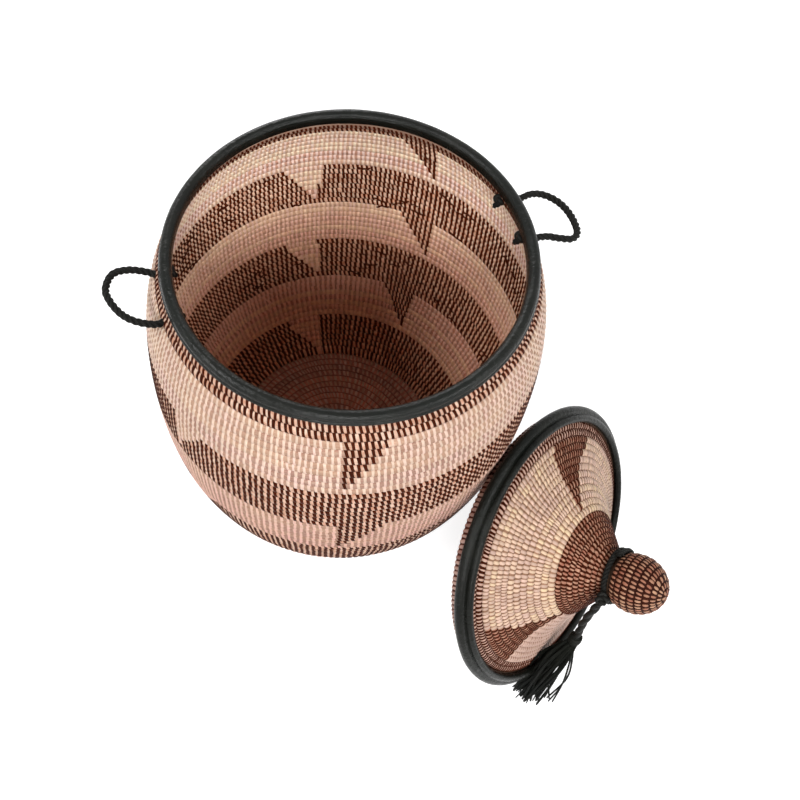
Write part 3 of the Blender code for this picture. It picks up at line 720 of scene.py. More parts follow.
def strip_piece(name, line, rows, share, look, body, slant,
                pinch=0.1, depth=1, lift=1, reach=1):
    """All the strips of one colour on one face, laid over rows that split_rows made.

    share is their width in stitches and slant their lean. pinch narrows their ends, and
    depth, lift and reach scale how far they go into the groove, out and along the row.
    """
    sizes = bpy.context.scene.basket_sizes
    places, faces = strip_unit()
    across, along, out = places.T
    across = across * (1 - pinch * ((2 * along) ** 2 - 0.4))
    cover = 1 - 0.3 * (2 * along) ** 4
    along = along * reach
    rise = (-sizes.groove * depth * (1 - crest(along))
            + (out * (lift * sizes.strip_lift + STRIP_ROOT) - STRIP_ROOT) * cover)
    points, shades, tones = [], [], []
    for row, pitch, angles, shade, tone, wide, lean in rows:
        radius, height = line.at(row + 0.5 + along, rise)
        turn = angles[:, None] + pitch * (share * wide[:, None] * across
                                          + (slant + lean)[:, None] * along)
        points.append(around(radius, turn, height).reshape(-1, 3))
        shades.append(np.repeat(shade, len(places)))
        tones.append(np.repeat(tone, len(places)))
    points = np.concatenate(points)
    faces = [[corner + first for corner in face]
             for first in range(0, len(points), len(places)) for face in faces]
    piece = new_piece(name, points, faces,
                      {"shade": np.concatenate(shades), "tone": np.concatenate(tones)})
    place_in_lid(piece, body)
    finish_piece(piece, look, body)


def leather_ring(name, outline, seed, look, body, node):
    """A leather ring, a little uneven along its length."""
    piece = turned(name, outline, LEATHER_SEGMENTS)
    spots = read_points(piece.data)
    angle = np.arctan2(spots[:, 1], spots[:, 0])
    chance = np.random.default_rng(seed)
    swell = sum(np.sin(waves * angle + chance.uniform(0, TURN))
                * chance.uniform(0.4, 1) / math.sqrt(waves) for waves in LEATHER_WAVES)
    radius = np.hypot(spots[:, 0], spots[:, 1])
    out = np.stack([radius, spots[:, 2]], axis=1) - np.mean(outline, axis=0)
    out /= np.maximum(np.linalg.norm(out, axis=1), 1e-6)[:, None]
    out *= LEATHER_SWELL * swell[:, None]
    write_points(piece.data, spots + around(out[:, 0], angle, out[:, 1]))
    smooth_piece(piece, 70)
    place_in_lid(piece, body)
    finish_piece(piece, look, body, [node])


# Materials

def new_material(name):
    """A node material, its tree and its shader."""
    made = bpy.data.materials.new(name)
    made.use_nodes = True
    return made, made.node_tree, made.node_tree.nodes["Principled BSDF"]


def feed(tree, node, inputs):
    """Link or set a node's inputs. A colour is set by its three parts."""
    for key, value in inputs.items():
        socket = node.inputs[key]
        if isinstance(value, bpy.types.NodeSocket):
            tree.links.new(value, socket)
        else:
            socket.default_value = (*value, 1) if socket.type == "RGBA" else value


def add_node(tree, kind, inputs=None, **settings):
    """A node with its settings and inputs."""
    node = tree.nodes.new(kind)
    for key, value in settings.items():
        setattr(node, key, value)
    feed(tree, node, inputs or {})
    return node


def attribute(tree, name, output="Fac"):
    """A value that the mesh carries."""
    return add_node(tree, "ShaderNodeAttribute", attribute_name=name).outputs[output]


def object_place(tree):
    """Where a point is in its object."""
    return add_node(tree, "ShaderNodeTexCoord").outputs["Object"]


def mixed(tree, factor, first, second, kind="MIX"):
    """Two colours mixed."""
    return add_node(tree, "ShaderNodeMix", {0: factor, 6: first, 7: second},
                    data_type="RGBA", blend_type=kind).outputs[2]


def maths(tree, operation, first, second):
    """A sum, product or the like of two values."""
    return add_node(tree, "ShaderNodeMath", {0: first, 1: second},
                    operation=operation).outputs[0]


def spread(tree, value, low, high, start=0.0, end=1.0):
    """A value stretched from one range to another, and held there."""
    return add_node(tree, "ShaderNodeMapRange", {
        "Value": value, "From Min": low, "From Max": high, "To Min": start, "To Max": end,
    }).outputs[0]


def noise(tree, vector, scale, detail=3.0, roughness=0.5):
    """A noise value on a vector that is scaled along each axis."""
    scaled = add_node(tree, "ShaderNodeMapping", {"Vector": vector, "Scale": scale})
    return add_node(tree, "ShaderNodeTexNoise", {
        "Vector": scaled.outputs[0], "Scale": 1, "Detail": detail, "Roughness": roughness,
    }).outputs[0]


def scaled_colour(colour, amount):
    """A colour made lighter or darker."""
    return tuple(min(1.0, part * amount) for part in colour[:3])


def tinted(tree, colour, tint):
    """A colour multiplied by another."""
    return mixed(tree, 1.0, colour, tint, "MULTIPLY")


def painted_depth_shade(tree, colour, tint=(0.84, 0.66, 0.56)):
    """Painted shade: a colour of the wall, darker and redder further down, where less light falls
    and much of it has bounced off the grass.
    """
    height = add_node(tree, "ShaderNodeSeparateXYZ", {0: object_place(tree)}).outputs[2]
    return mixed(tree, spread(tree, height, 0.22, 0.40), tinted(tree, colour, tint), colour)


def finish_look(tree, shader, colour, roughness, gloss, height, relief, strength=1.0):
    """Feed the shader its colour, roughness, gloss and relief."""
    bump = add_node(tree, "ShaderNodeBump", {
        "Height": height, "Distance": relief, "Strength": strength})
    feed(tree, shader, {"Base Color": colour, "Roughness": roughness,
                        "Specular IOR Level": gloss, "Normal": bump.outputs[0]})


def grass_look(name, gaps, grains, painted_shade, inner=None, depth=0.5, edge=None):
    """Grass bundles: fine fibres along the row, with painted shade down in the grooves.

    gaps are the two colours seen between cream strips, inner those inside the wall, and grains
    those between dark strips. edge colours the first rows' grains. The shade colour is painted
    into the grooves and, inside the wall, under the rim.
    """
    made, tree, shader = new_material(name)
    place = attribute(tree, "coil_place", "Vector")
    fibre = noise(tree, place, (60, 60, 2600), 4, 0.6)
    blotch = noise(tree, place, (38, 38, 90), 2)
    patch = noise(tree, place, (170, 170, 120), 2, 0.6)
    tone, row = attribute(tree, "tone"), attribute(tree, "row")
    gap = mixed(tree, tone, *gaps)
    grain = mixed(tree, spread(tree, patch, 0.36, 0.66), *grains)
    if edge:
        grain = mixed(tree, spread(tree, row, 1.9, 2.3, 0.8, 0.0), grain, edge)
    if inner:
        inside = attribute(tree, "inside")
        gap = mixed(tree, inside, painted_depth_shade(tree, gap, (0.85, 0.75, 0.75)),
                    painted_depth_shade(tree, mixed(tree, tone, *inner)))
        # The grains inside are lighter than the same grains outside: painted light on the inner
        # wall.
        grain = mixed(tree, inside, tinted(tree, grain, (0.69, 0.62, 0.62)),
                      painted_depth_shade(tree, grain))
    colour = mixed(tree, attribute(tree, "dark"), gap, grain)
    if inner:
        # Painted shadow: the first rows inside go dark, as in the rim leather's shadow.
        rim_shadow = spread(tree, row, 1.0, 1.8, 0.85, 0.0)
        colour = mixed(tree, maths(tree, "MULTIPLY", inside, rim_shadow), colour, painted_shade)
    colour = mixed(tree, spread(tree, fibre, 0.4, 0.7, 0, 0.35), colour,
                   scaled_colour(grains[0], 1.12))
    colour = mixed(tree, spread(tree, blotch, 0.4, 0.75, 0, 0.4), colour,
                   scaled_colour(gaps[0], 0.6))
    # Painted shade down in the grooves. It also stands for the strips' ends that tuck in there.
    groove = maths(tree, "POWER", attribute(tree, "groove"), 5)
    colour = mixed(tree, maths(tree, "MULTIPLY", groove, depth), colour, painted_shade)
    finish_look(tree, shader, colour, 0.65, 0.1, fibre, 0.3 * MM)
    return made


def strip_look(name, base, other, third, roughness, gloss=0.25, tint=None):
    """Plastic strip: each one a little different, with fine lengthwise creases."""
    made, tree, shader = new_material(name)
    colour = mixed(tree, attribute(tree, "tone"), base, other)
    shade = spread(tree, attribute(tree, "shade"), 0.3, 1.0, 0.0, 0.8)
    colour = mixed(tree, shade, colour, third)
    # tint darkens and reddens the strips further down the wall: painted shade.
    if tint:
        colour = painted_depth_shade(tree, colour, tint)
    crease = noise(tree, object_place(tree), (900, 900, 500), 3, 0.6)
    colour = mixed(tree, spread(tree, crease, 0.45, 0.8, 0, 0.3), colour,
                   scaled_colour(base, 0.6))
    rough = spread(tree, crease, 0.3, 0.7, roughness - 0.08, roughness + 0.12)
    finish_look(tree, shader, colour, rough, gloss, crease, 0.12 * MM)
    return made


def dark_strip_look(name, colour, others=(1.3, 1.8)):
    """Nearly black plastic strip."""
    other, third = (scaled_colour(colour, amount) for amount in others)
    return strip_look(name, colour, other, third, 0.5, 0.04)


def leather_look(name, roughness, place="coil_place", gloss=0.18):
    """Black leather: fine grain, creases along its length and faintly worn places."""
    made, tree, shader = new_material(name)
    leather = bpy.context.scene.basket_colours.leather
    spot = object_place(tree)
    wear = noise(tree, spot, (26, 26, 26), 4, 0.6)
    grain = noise(tree, spot, (1100, 1100, 1100), 2)
    crease = noise(tree, attribute(tree, place, "Vector"), (45, 45, 620), 4, 0.65)
    wrinkle = noise(tree, spot, (230, 230, 230), 3, 0.6)
    tint = noise(tree, spot, (11, 11, 11), 2)
    green = tuple(part * share for part, share in zip(leather, (0.8, 0.95, 0.95)))
    colour = mixed(tree, spread(tree, tint, 0.35, 0.65), leather, green)
    colour = mixed(tree, spread(tree, wear, 0.5, 0.8, 0, 0.6), colour,
                   scaled_colour(leather, 2.6))
    rough = spread(tree, wear, 0.3, 0.75, roughness - 0.08, roughness + 0.14)
    height = maths(tree, "ADD", maths(tree, "ADD", crease, maths(tree, "MULTIPLY", wrinkle, 0.9)),
                   maths(tree, "MULTIPLY", grain, 0.2))
    finish_look(tree, shader, colour, rough, gloss, height, 0.9 * MM, 0.9)
    return made


def cord_look(name, gain=1.0):
    """Black twisted yarn: fine fibres that wind round each ply."""
    made, tree, shader = new_material(name)
    cord = bpy.context.scene.basket_colours.cord
    fibre = noise(tree, attribute(tree, "yarn", "Vector"), (260, 6, 6), 4, 0.6)
    fuzz = noise(tree, object_place(tree), (500, 500, 500), 2)
    colour = mixed(tree, spread(tree, fibre, 0.35, 0.7), scaled_colour(cord, 0.3 * gain),
                   scaled_colour(cord, 2.4 * gain))
    height = maths(tree, "ADD", fibre, maths(tree, "MULTIPLY", fuzz, 0.3))
    finish_look(tree, shader, colour, spread(tree, fuzz, 0.3, 0.7, 0.42, 0.62), 0.1, height,
                0.3 * MM)
    return made


# Cords

def line_frames(path):
    """Two directions across the path at each point, that turn as little as they can."""
    ahead = np.gradient(path, axis=0)
    ahead /= np.linalg.norm(ahead, axis=1)[:, None]
    firsts = [np.array(Vector(ahead[0]).orthogonal().normalized())]
    for direction in ahead[1:]:
        side = firsts[-1] - direction * float(firsts[-1] @ direction)
        firsts.append(side / np.linalg.norm(side))
    firsts = np.array(firsts)
    return ahead, firsts, np.cross(ahead, firsts)


def sweep(path, radii, sides, flat=1.0, closed=False, spin=0.0):
    """A tube along a path: points, faces and the yarn coordinates (along, cos, sin)."""
    path = np.array(path, dtype=float)
    count = len(path)
    radii = np.broadcast_to(np.asarray(radii, dtype=float), (count,))
    ahead, first, second = line_frames(path)
    miss = 0
    if closed:
        end = first[-1] - ahead[0] * float(first[-1] @ ahead[0])
        miss = math.atan2(float(end @ second[0]), float(end @ first[0]))
    angles = np.arange(sides) / sides * TURN
    turn = angles[None, :] - miss * np.linspace(0, 1, count)[:, None] + spin
    points = (path[:, None, :] + radii[:, None, None]
              * (np.cos(turn)[..., None] * first[:, None, :]
                 + flat * np.sin(turn)[..., None] * second[:, None, :]))
    along = np.broadcast_to(travelled(path)[:, None], turn.shape)
    yarn = np.stack([along, np.cos(turn), np.sin(turn)], axis=2)
    faces = []
    for step in range(count if closed else count - 1):
        here, after = step * sides, (step + 1) % count * sides
        for side in range(sides):
            near = (side + 1) % sides
            faces.append((here + side, here + near, after + near, after + side))
    if not closed:
        faces.append(tuple(reversed(range(sides))))
        faces.append(tuple(range((count - 1) * sides, count * sides)))
    return points.reshape(-1, 3), faces, yarn.reshape(-1, 3)


def joined(parts):
    """Several (points, faces, yarn) as one."""
    faces, total = [], 0
    for points, some_faces, _ in parts:
        faces += [tuple(corner + total for corner in face) for face in some_faces]
        total += len(points)
    return (np.concatenate([part[0] for part in parts]), faces,
            np.concatenate([part[2] for part in parts]))


def laid(path, radius, plies, lay, sides=10, ends=1.0, seed=0):
    """A laid cord along a path: plies that wind round it. Points, faces and yarn."""
    path = np.array(path, dtype=float)
    ply = radius / (1 + 1 / math.sin(math.pi / plies)) * (1.05 if plies > 2 else 1.45)
    _, first, second = line_frames(path)
    chance = np.random.default_rng(seed)
    wander = smooth_line(chance.normal(0, 0.16, (12, 1)), len(path))[:, 0]
    taper = np.ones(len(path))
    taper[0] = taper[-1] = ends
    parts = []
    for number in range(plies):
        turn = travelled(path) / lay * TURN + number / plies * TURN + wander
        route = path + (radius - ply) * (np.cos(turn)[:, None] * first
                                         + np.sin(turn)[:, None] * second)
        parts.append(sweep(route, ply * taper, sides))
    points, faces, yarn = joined(parts)
    twist = yarn[:, 0] / (0.35 * lay) * TURN
    wound = np.arctan2(yarn[:, 2], yarn[:, 1]) + twist
    yarn = np.stack([yarn[:, 0] * 0.1, np.cos(wound), np.sin(wound)], axis=1)
    return points, faces, yarn


def overhand(centre, turn, radius, tube, flat):
    """A tight knot: one closed cord that passes three times over itself."""
    t = np.linspace(0, TURN, 72, endpoint=False)
    shape = np.stack([np.sin(t) + 2 * np.sin(2 * t), np.cos(t) - 2 * np.cos(2 * t),
                      -1.25 * flat * np.sin(3 * t)], axis=1) * (radius - tube) / 3
    points, faces, yarn = sweep(shape, tube, 10, closed=True)
    yarn[:, 0] *= 0.2
    return points @ np.array(turn).T + np.array(centre), faces, yarn


def cord_piece(name, parts, look, body, nodes=()):
    """A piece of one or more tubes, with the yarn's coordinates for its material."""
    points, faces, yarn = joined(parts)
    return finish_piece(new_piece(name, points, faces, {"yarn": yarn}), look, body, nodes)


def flat_direction(angle):
    """A level direction."""
    return Vector((math.cos(angle), math.sin(angle), 0))


def facing(direction):
    """The turn that takes Z to a direction."""
    return direction.to_track_quat("Z", "Y").to_matrix()


# Operators

class BASKET_OT_stage(bpy.types.Operator):
    """Set the camera, the pale floor and the soft lights"""
    bl_idname = "basket.stage"
    bl_label = "Stage"

    def execute(self, context):
        """Make the camera first, then the floor and the lights."""
        stage = context.scene.basket_stage
        camera = bpy.data.objects.new("camera", bpy.data.cameras.new("camera"))
        context.collection.objects.link(camera)
        camera.location = CAMERA_PLACE
        camera.rotation_euler = (CAMERA_TILT, 0, 0)
        camera.data.sensor_width = CAMERA_SENSOR
        camera.data.lens = CAMERA_LENS
        camera.data.shift_x = CAMERA_SHIFT
        camera.data.clip_start = 0.05
        context.scene.camera = camera
        deselect()
        bpy.ops.mesh.primitive_circle_add(vertices=96, radius=FLOOR_RADIUS, fill_type="NGON",
                                          location=FLOOR_PLACE)
        floor = context.active_object
        floor.name = "floor"
        bpy.ops.object.transform_apply(location=True, rotation=True, scale=True)
        floor.data.materials.append(self.floor_look())
        for name, (place, size) in LIGHTS.items():
            self.add_light(name, place, size, getattr(stage, name))
        self.set_world(context, stage.surround)
        context.scene.view_settings.view_transform = "Standard"
        return {"FINISHED"}

    def add_light(self, name, place, size, power):
        """A large soft light, turned to the basket."""
        lamp = bpy.data.lights.new(name, "AREA")
        lamp.shape = "DISK"
        lamp.size = size
        lamp.energy = power
        light = bpy.data.objects.new(name, lamp)
        bpy.context.collection.objects.link(light)
        light.location = place
        aim = LIGHT_AIM - Vector(place)
        light.rotation_euler = aim.to_track_quat("-Z", "Y").to_euler()

    def floor_look(self):
        """A pale floor that keeps the shadow and reads as white to the camera."""
        made, tree, shader = new_material("pale floor")
        feed(tree, shader, {"Base Color": (0.5, 0.5, 0.5), "Roughness": 0.9,
                            "Specular IOR Level": 0.1})
        glow = add_node(tree, "ShaderNodeEmission", {"Color": (1, 1, 1), "Strength": FLOOR_GLOW})
        plain = shader.outputs[0]
        both = add_node(tree, "ShaderNodeAddShader", {0: plain, 1: glow.outputs[0]}).outputs[0]
        chosen = add_node(tree, "ShaderNodeMixShader", {0: self.seen(tree), 1: plain, 2: both})
        feed(tree, tree.nodes["Material Output"], {0: chosen.outputs[0]})
        return made

    def seen(self, tree):
        """1 for what the camera sees, also through glass or in a reflection."""
        rays = add_node(tree, "ShaderNodeLightPath").outputs
        added = maths(tree, "ADD", rays["Is Camera Ray"], rays["Is Glossy Ray"])
        added = maths(tree, "ADD", added, rays["Is Transmission Ray"])
        return maths(tree, "MINIMUM", added, 1.0)

    def set_world(self, context, surround):
        """White to the camera, and a plain light from all round."""
        world = bpy.data.worlds.new("pale studio")
        context.scene.world = world
        world.use_nodes = True
        tree = world.node_tree
        feed(tree, tree.nodes["Background"], {
            "Color": (1, 1, 1), "Strength": spread(tree, self.seen(tree), 0, 1, surround, 1.0)})


def tie_knot_place():
    """The centre of the tie knot, from which the tassel hangs, in the lid's frame."""
    return flat_direction(TIE_KNOT_ANGLE) * TIE_KNOT_REACH + Vector((0, 0, TIE_KNOT_HEIGHT))


class BASKET_OT_tassel(bpy.types.Operator):
    """Make the tassel: doubled cord, bound head and leather strands"""
    bl_idname = "basket.tassel"
    bl_label = "Tassel"

    def execute(self, context):
        """Hang the cord from the tie knot, then the head and the strands."""
        down = flat_direction(TASSEL_HEADING) * math.sin(TASSEL_SLANT)
        down.z = -math.cos(TASSEL_SLANT)
        bow = Vector((down.z, 0, -down.x)).normalized() * TASSEL_CORD_BOW
        start = LID_MATRIX @ tie_knot_place() + down * (TIE_KNOT_RADIUS + CLEAR)
        end = start + down * TASSEL_CORD_LENGTH
        path = smooth_line([start, (start + end) / 2 + bow, end], 61)
        cord = cord_piece("tassel_cord_plies",
                          [laid(path, TASSEL_CORD_RADIUS, 2, TASSEL_CORD_LAY, 12, 0.8, seed=4)],
                          cord_look("tassel cord"), "tassel", ["tassel_cord"])
        head = self.make_head(end, down)
        strands = self.make_strands(end, down, context.scene.basket_sizes.strand_count)
        return {"FINISHED"}

    def make_head(self, end, down):
        """A strip of leather wound tightly round the strands' tops."""
        core_shares = ((0, 0), (0, 0.55), (0.1, 0.82), (0.5, 0.8), (0.9, 0.82), (1, 0.6), (1, 0))
        core = turned("tassel_head_binding", [
            (TASSEL_HEAD_RADIUS * out, TASSEL_HEAD_LENGTH * along)
            for along, out in core_shares], 20)
        matrix = Matrix.Translation(end + down * 2 * CLEAR) @ facing(down).to_4x4()
        core.data.transform(matrix)
        points = read_points(core.data)
        faces = [tuple(face.vertices) for face in core.data.polygons]
        bpy.data.objects.remove(core, do_unlink=True)
        steps = np.linspace(0, 1, 110)
        reach = TASSEL_HEAD_RADIUS * (0.78 + 0.06 * np.sin(steps * math.pi))
        path = around(reach, steps * TASSEL_HEAD_TURNS * TURN,
                      TASSEL_HEAD_LENGTH * (0.08 + 0.84 * steps))
        wound = sweep(moved(path, matrix), 1.6 * MM, 8)
        return cord_piece("tassel_head_binding", [(points, faces, points), wound],
                          leather_look("tassel leather", 0.42, gloss=0.08),
                          "tassel", ["tassel_head"])

    def make_strands(self, end, down, count):
        """Thin flat strands that fan out and come to rest on the floor, some curled."""
        chance = np.random.default_rng(11)
        root = end + down * (TASSEL_HEAD_LENGTH + 2 * CLEAR)
        taper = np.concatenate([np.ones(16), [0.95, 0.8]])
        parts = []
        for number in range(count):
            loose = number >= count - LOOSE_STRANDS
            heading = STRAND_HEADING + STRAND_SPREAD * (
                chance.uniform(0.0, 0.34) if loose else -0.52 + 0.5 * chance.beta(1.2, 2.0))
            reach = STRAND_REACH * (0.86 if loose else chance.uniform(0.78, 1.08))
            outward = flat_direction(heading)
            side = Vector((-outward.y, outward.x, 0))
            ring, off = number * 2.4, STRAND_ROOT * math.sqrt(chance.uniform(0, 1))
            start = (root - down * 3 * MM + outward * off * math.cos(ring)
                     + side * off * math.sin(ring))
            finish = start + outward * reach
            finish.z = chance.uniform(1.0, 1.4 if loose else 8.0) * MM
            curl = chance.normal(0, 12 if loose else 3) * MM
            swell = Vector((-chance.uniform(0, 17), -chance.uniform(-4, 8),
                            chance.uniform(0, 15))) * MM * (0.3 if loose else 1)
            route = [start]
            for t in (0.3, 0.65):
                jitter = Vector(chance.normal(0, 1.2, 3)) * MM
                route.append(start.lerp(finish, t) + swell * math.sin(math.pi * t ** 0.65)
                             + side * curl * math.sin(math.pi * t) + jitter)
            width = chance.uniform(1.4, 2.0) * MM
            strand = sweep(smooth_line(route + [finish], 18), width * taper, 6, flat=0.6,
                           spin=chance.uniform(0, 1))
            strand[0][:, 2] = np.maximum(strand[0][:, 2], 0.2 * MM)
            parts.append(strand)
        return cord_piece("tassel_strand_fan", parts,
                          leather_look("strand leather", 0.5, "yarn", 0.06),
                          "tassel", ["tassel_strands"])


class BASKET_OT_wall(bpy.types.Operator):
    """Make the coiled wall and its strips, inside and out"""
    bl_idname = "basket.wall"
    bl_label = "Wall"

    def execute(self, context):
        """Turn the coil, then lay dark and cream strips over each row."""
        sizes = context.scene.basket_sizes
        colours = context.scene.basket_colours
        outside, inside = wall_outside(), wall_inside()
        self.make_coil(sizes, colours, outside, inside)
        angles = stitch_angles(wall_counts()[::-1], 7)[::-1]
        # Inside, the dark strips are a lighter copy of the outer ones: painted light on the inner
        # wall.
        inner_dark = dark_strip_look("inner dark strip", scaled_colour(colours.dark, 1.6),
                                     (1.2, 1.7))
        # The tints on the cream strips paint shade: darker and redder further down the wall.
        looks = (dark_strip_look("dark strip", colours.dark),
                 strip_look("cream strip", colours.cream, colours.cream_pink,
                            scaled_colour(colours.cream, 0.84), 0.45, tint=(0.92, 0.71, 0.69)))
        inner_looks = (inner_dark,
                       strip_look("inner cream strip", colours.inner_cream, colours.inner_pink,
                                  scaled_colour(colours.inner_pink, 0.86), 0.45,
                                  tint=(0.90, 0.66, 0.55)))
        for face, line, last, streaky, slant, (dark_look, cream_look), share, reach in (
                ("outer", outside, WALL_ROWS, 0.7, sizes.slant, looks,
                 sizes.cream_share, 1.0),
                ("inner", inside, WALL_ROWS - 1, 0.2, -sizes.slant, inner_looks,
                 sizes.inner_cream_share, 0.95)):
            dark, cream = split_rows(range(last), angles, wall_dark, 20, streaky)
            strip_piece(f"wall_{face}_dark_strips", line, dark, sizes.dark_share, dark_look,
                        "basket", slant, pinch=-0.22)
            strip_piece(f"wall_{face}_cream_strips", line, cream, share, cream_look,
                        "basket", slant * 0.45, pinch=-0.25, reach=reach)
        self.make_loose_ends(inside, inner_dark)
        return {"FINISHED"}

    def make_coil(self, sizes, colours, outside, inside):
        """The grass wall: rows outside and inside, and the last coil on top."""
        places = np.add.outer(np.arange(WALL_ROWS), WALL_STEPS).ravel()[1:]
        foot, edge = outside.at(WALL_ROWS)[0] - sizes.groove, BASE_RADIUS + CLEAR
        outline = [
            *row_points(outside, places, sizes.groove),
            *corners(WALL_ROWS - 1, (foot, 0), (edge, 0), (edge, BASE_THICKNESS * 0.7)),
            *row_points(inside, places[places < WALL_ROWS - 1][::-1], sizes.groove, 1),
            *corners(0, *arc((RIM_COIL_RADIUS, RIM_COIL_HEIGHT), COIL_HALF, 200, -20, 7))]
        look = grass_look("wall grass", (colours.gap, colours.gap_pink),
                          (colours.grain, colours.grain_red),
                          scaled_colour(colours.gap_inside_pink, 0.35),
                          (colours.gap_inside, colours.gap_inside_pink))
        coil_piece("wall_coil_rows", outline, sizes.segments, (wall_dark, WALL_ROWS, 20), look,
                   "basket", "basket_wall")

    def make_loose_ends(self, inside, look):
        """Ends of dark strips that lie loose along the dark rows inside the wall."""
        chance = np.random.default_rng(17)
        parts = []
        steps = np.linspace(0, 1, 9)
        while len(parts) < LOOSE_ENDS:
            row = chance.integers(*LOOSE_ROWS) + chance.uniform(0.2, 0.8)
            angle = chance.uniform(0, TURN)
            length = chance.uniform(6, 20) * MM
            climb = chance.normal(0, 0.5)
            wave = 0.14 * np.sin(chance.uniform(4, 9) * steps)
            rise = (0.9 + chance.uniform(0.2, 1.2) * steps) * MM
            radius, height = inside.at(row + climb * steps + wave, rise)
            angles = angle + length / radius * steps
            if wall_dark(int(row), angles[0]) and wall_dark(int(row + climb), angles[-1]):
                parts.append(sweep(around(radius, angles, height), LOOSE_RADIUS, 6, flat=0.6))
        cord_piece("wall_loose_ends", parts, look, "basket")


class BASKET_OT_floor(bpy.types.Operator):
    """Make the coiled floor of the basket"""
    bl_idname = "basket.base"
    bl_label = "Floor"

    def execute(self, context):
        """Turn the flat coil and lay strips over both faces."""
        sizes = context.scene.basket_sizes
        colours = context.scene.basket_colours
        over, under = base_face(BASE_THICKNESS, 1), base_face(BASE_UNDER, -1)
        places = row_steps(BASE_ROWS)
        outline = [*row_points(over, places, sizes.groove * BASE_DEPTH),
                   *row_points(under, places[::-1], sizes.groove * BASE_DEPTH)]
        # The floor's grass takes darker, redder colours than the inner wall's: painted shade at
        # the bottom of the basket.
        look = grass_look("floor grass", (colours.gap_inside_pink, colours.gap_pink),
                          (colours.gap, colours.gap_pink),
                          scaled_colour(colours.gap_inside_pink, 0.2), depth=0.9)
        coil_piece("floor_coil_rows", outline, BASE_SEGMENTS, (none_dark, BASE_ROWS, 30),
                   look, "basket", "basket_base", climb=1)
        angles = stitch_angles(ring_counts(over, BASE_ROWS, BASE_STITCH), 31)
        # The floor's strips are the cream strips made darker: painted shade at the bottom of the
        # basket.
        look = strip_look("floor strip", scaled_colour(colours.cream, 0.8),
                          scaled_colour(colours.cream_pink, 0.8), colours.gap, 0.5)
        _, strips = split_rows(range(BASE_ROWS), angles, none_dark, 32)
        for face, line, slant in (("upper", over, sizes.slant), ("under", under, -sizes.slant)):
            strip_piece(f"floor_{face}_strips", line, strips, 0.6, look, "basket",
                        slant, depth=BASE_DEPTH, reach=0.76)
        return {"FINISHED"}


class BASKET_OT_rim(bpy.types.Operator):
    """Make the leather folded over the basket's last coil"""
    bl_idname = "basket.rim"
    bl_label = "Rim leather"

    def execute(self, context):
        """Turn the folded leather with its two rolls."""
        outside = RIM_COIL_RADIUS + RIM_CAVITY
        centre = (RIM_COIL_RADIUS, RIM_COIL_HEIGHT)
        outline = [(outside, LEATHER_FOOT),
                   *arc((outside, LEATHER_FOOT + RIM_ROLL), RIM_ROLL, -62, 66, 9),
                   *arc(centre, RIM_FOLD, 10, 180, 15),
                   (MOUTH_RADIUS, LEATHER_FOOT + 0.6 * MM),
                   (MOUTH_RADIUS + 0.7 * MM, LEATHER_FOOT),
                   (RIM_COIL_RADIUS - RIM_CAVITY, LEATHER_FOOT),
                   *arc(centre, RIM_CAVITY, 180, 0, 7)]
        leather_ring("rim_leather_fold", outline, 41, leather_look("rim leather", 0.2),
                     "basket", "rim_binding")
        return {"FINISHED"}


class BASKET_OT_handles(bpy.types.Operator):
    """Make the twisted cord handles and the knots inside the wall"""
    bl_idname = "basket.handles"
    bl_label = "Handles"

    def execute(self, context):
        """Lay three plies along each loop, and tie a knot at each end."""
        look = cord_look("handle cord")
        knot_look = cord_look("knot cord", 0.9)
        radius = float(WALL_CURVE(HANDLE_HEIGHT))
        half = math.asin(HANDLE_HOLE_SPREAD / radius)
        hole = HANDLE_HOLE_SPREAD - 0.6 * MM
        for seed, (name, (azimuth, tilt, ends)) in enumerate(HANDLES.items(), 50):
            place = flat_direction(azimuth) * radius * math.cos(half)
            place.z = HANDLE_HEIGHT
            matrix = (Matrix.Translation(place)
                      @ Euler((0, -tilt, azimuth), "XYZ").to_matrix().to_4x4())
            bow = [(reach * MM, side * MM) for reach, side in HANDLE_BOWS[name]]
            line = [(-HANDLE_ROOT, hole), *bow, (-HANDLE_ROOT, -hole)]
            path = smooth_line([(reach + CLEAR, side, 0) for reach, side in line], 181)
            loop = laid(moved(path, matrix), HANDLE_CORD_RADIUS * 1.03, 3, HANDLE_LAY, 10, 0.7,
                        seed=seed)
            cord_piece(f"{name}_twisted_cord", [loop], look, name,
                       [f"{name}_loop"])
            for turn, end in zip((azimuth - half, azimuth + half), ends):
                self.make_knot(name, end, flat_direction(turn), radius, knot_look)
        return {"FINISHED"}

    def make_knot(self, handle, end, outward, radius, look):
        """The cord's end through the wall, and the knot that holds it."""
        low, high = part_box(f"{handle}_knot_{end}")
        middle = (Vector(low) + Vector(high)) / 2
        inner = min(middle.xy.length, radius - WALL_THICKNESS) - 0.5 * MM
        level = Vector((0, 0, HANDLE_HEIGHT))
        centre = outward * inner + level + Vector((0, 0, 4 * MM))
        stub = [outward * reach + level for reach in np.linspace(inner, radius - 2 * MM, 12)]
        tail = smooth_line([centre, centre - outward * 4 * MM + Vector((0, 0, -4 * MM)),
                            centre + (-outward * 3 + Vector((0, 0, -8))) * MM], 14)
        cord_piece(f"{handle}_inner_knot_{end}", [
            overhand(centre, facing(outward), HANDLE_KNOT_RADIUS * 0.92, 2.7 * MM, 0.8),
            laid(stub, 3.0 * MM, 3, HANDLE_LAY, 8, 0.6, seed=3),
            laid(tail, 2.2 * MM, 3, 11 * MM, 8, 0.5, seed=9),
        ], look, "basket", [f"{handle}_knot_{end}"])


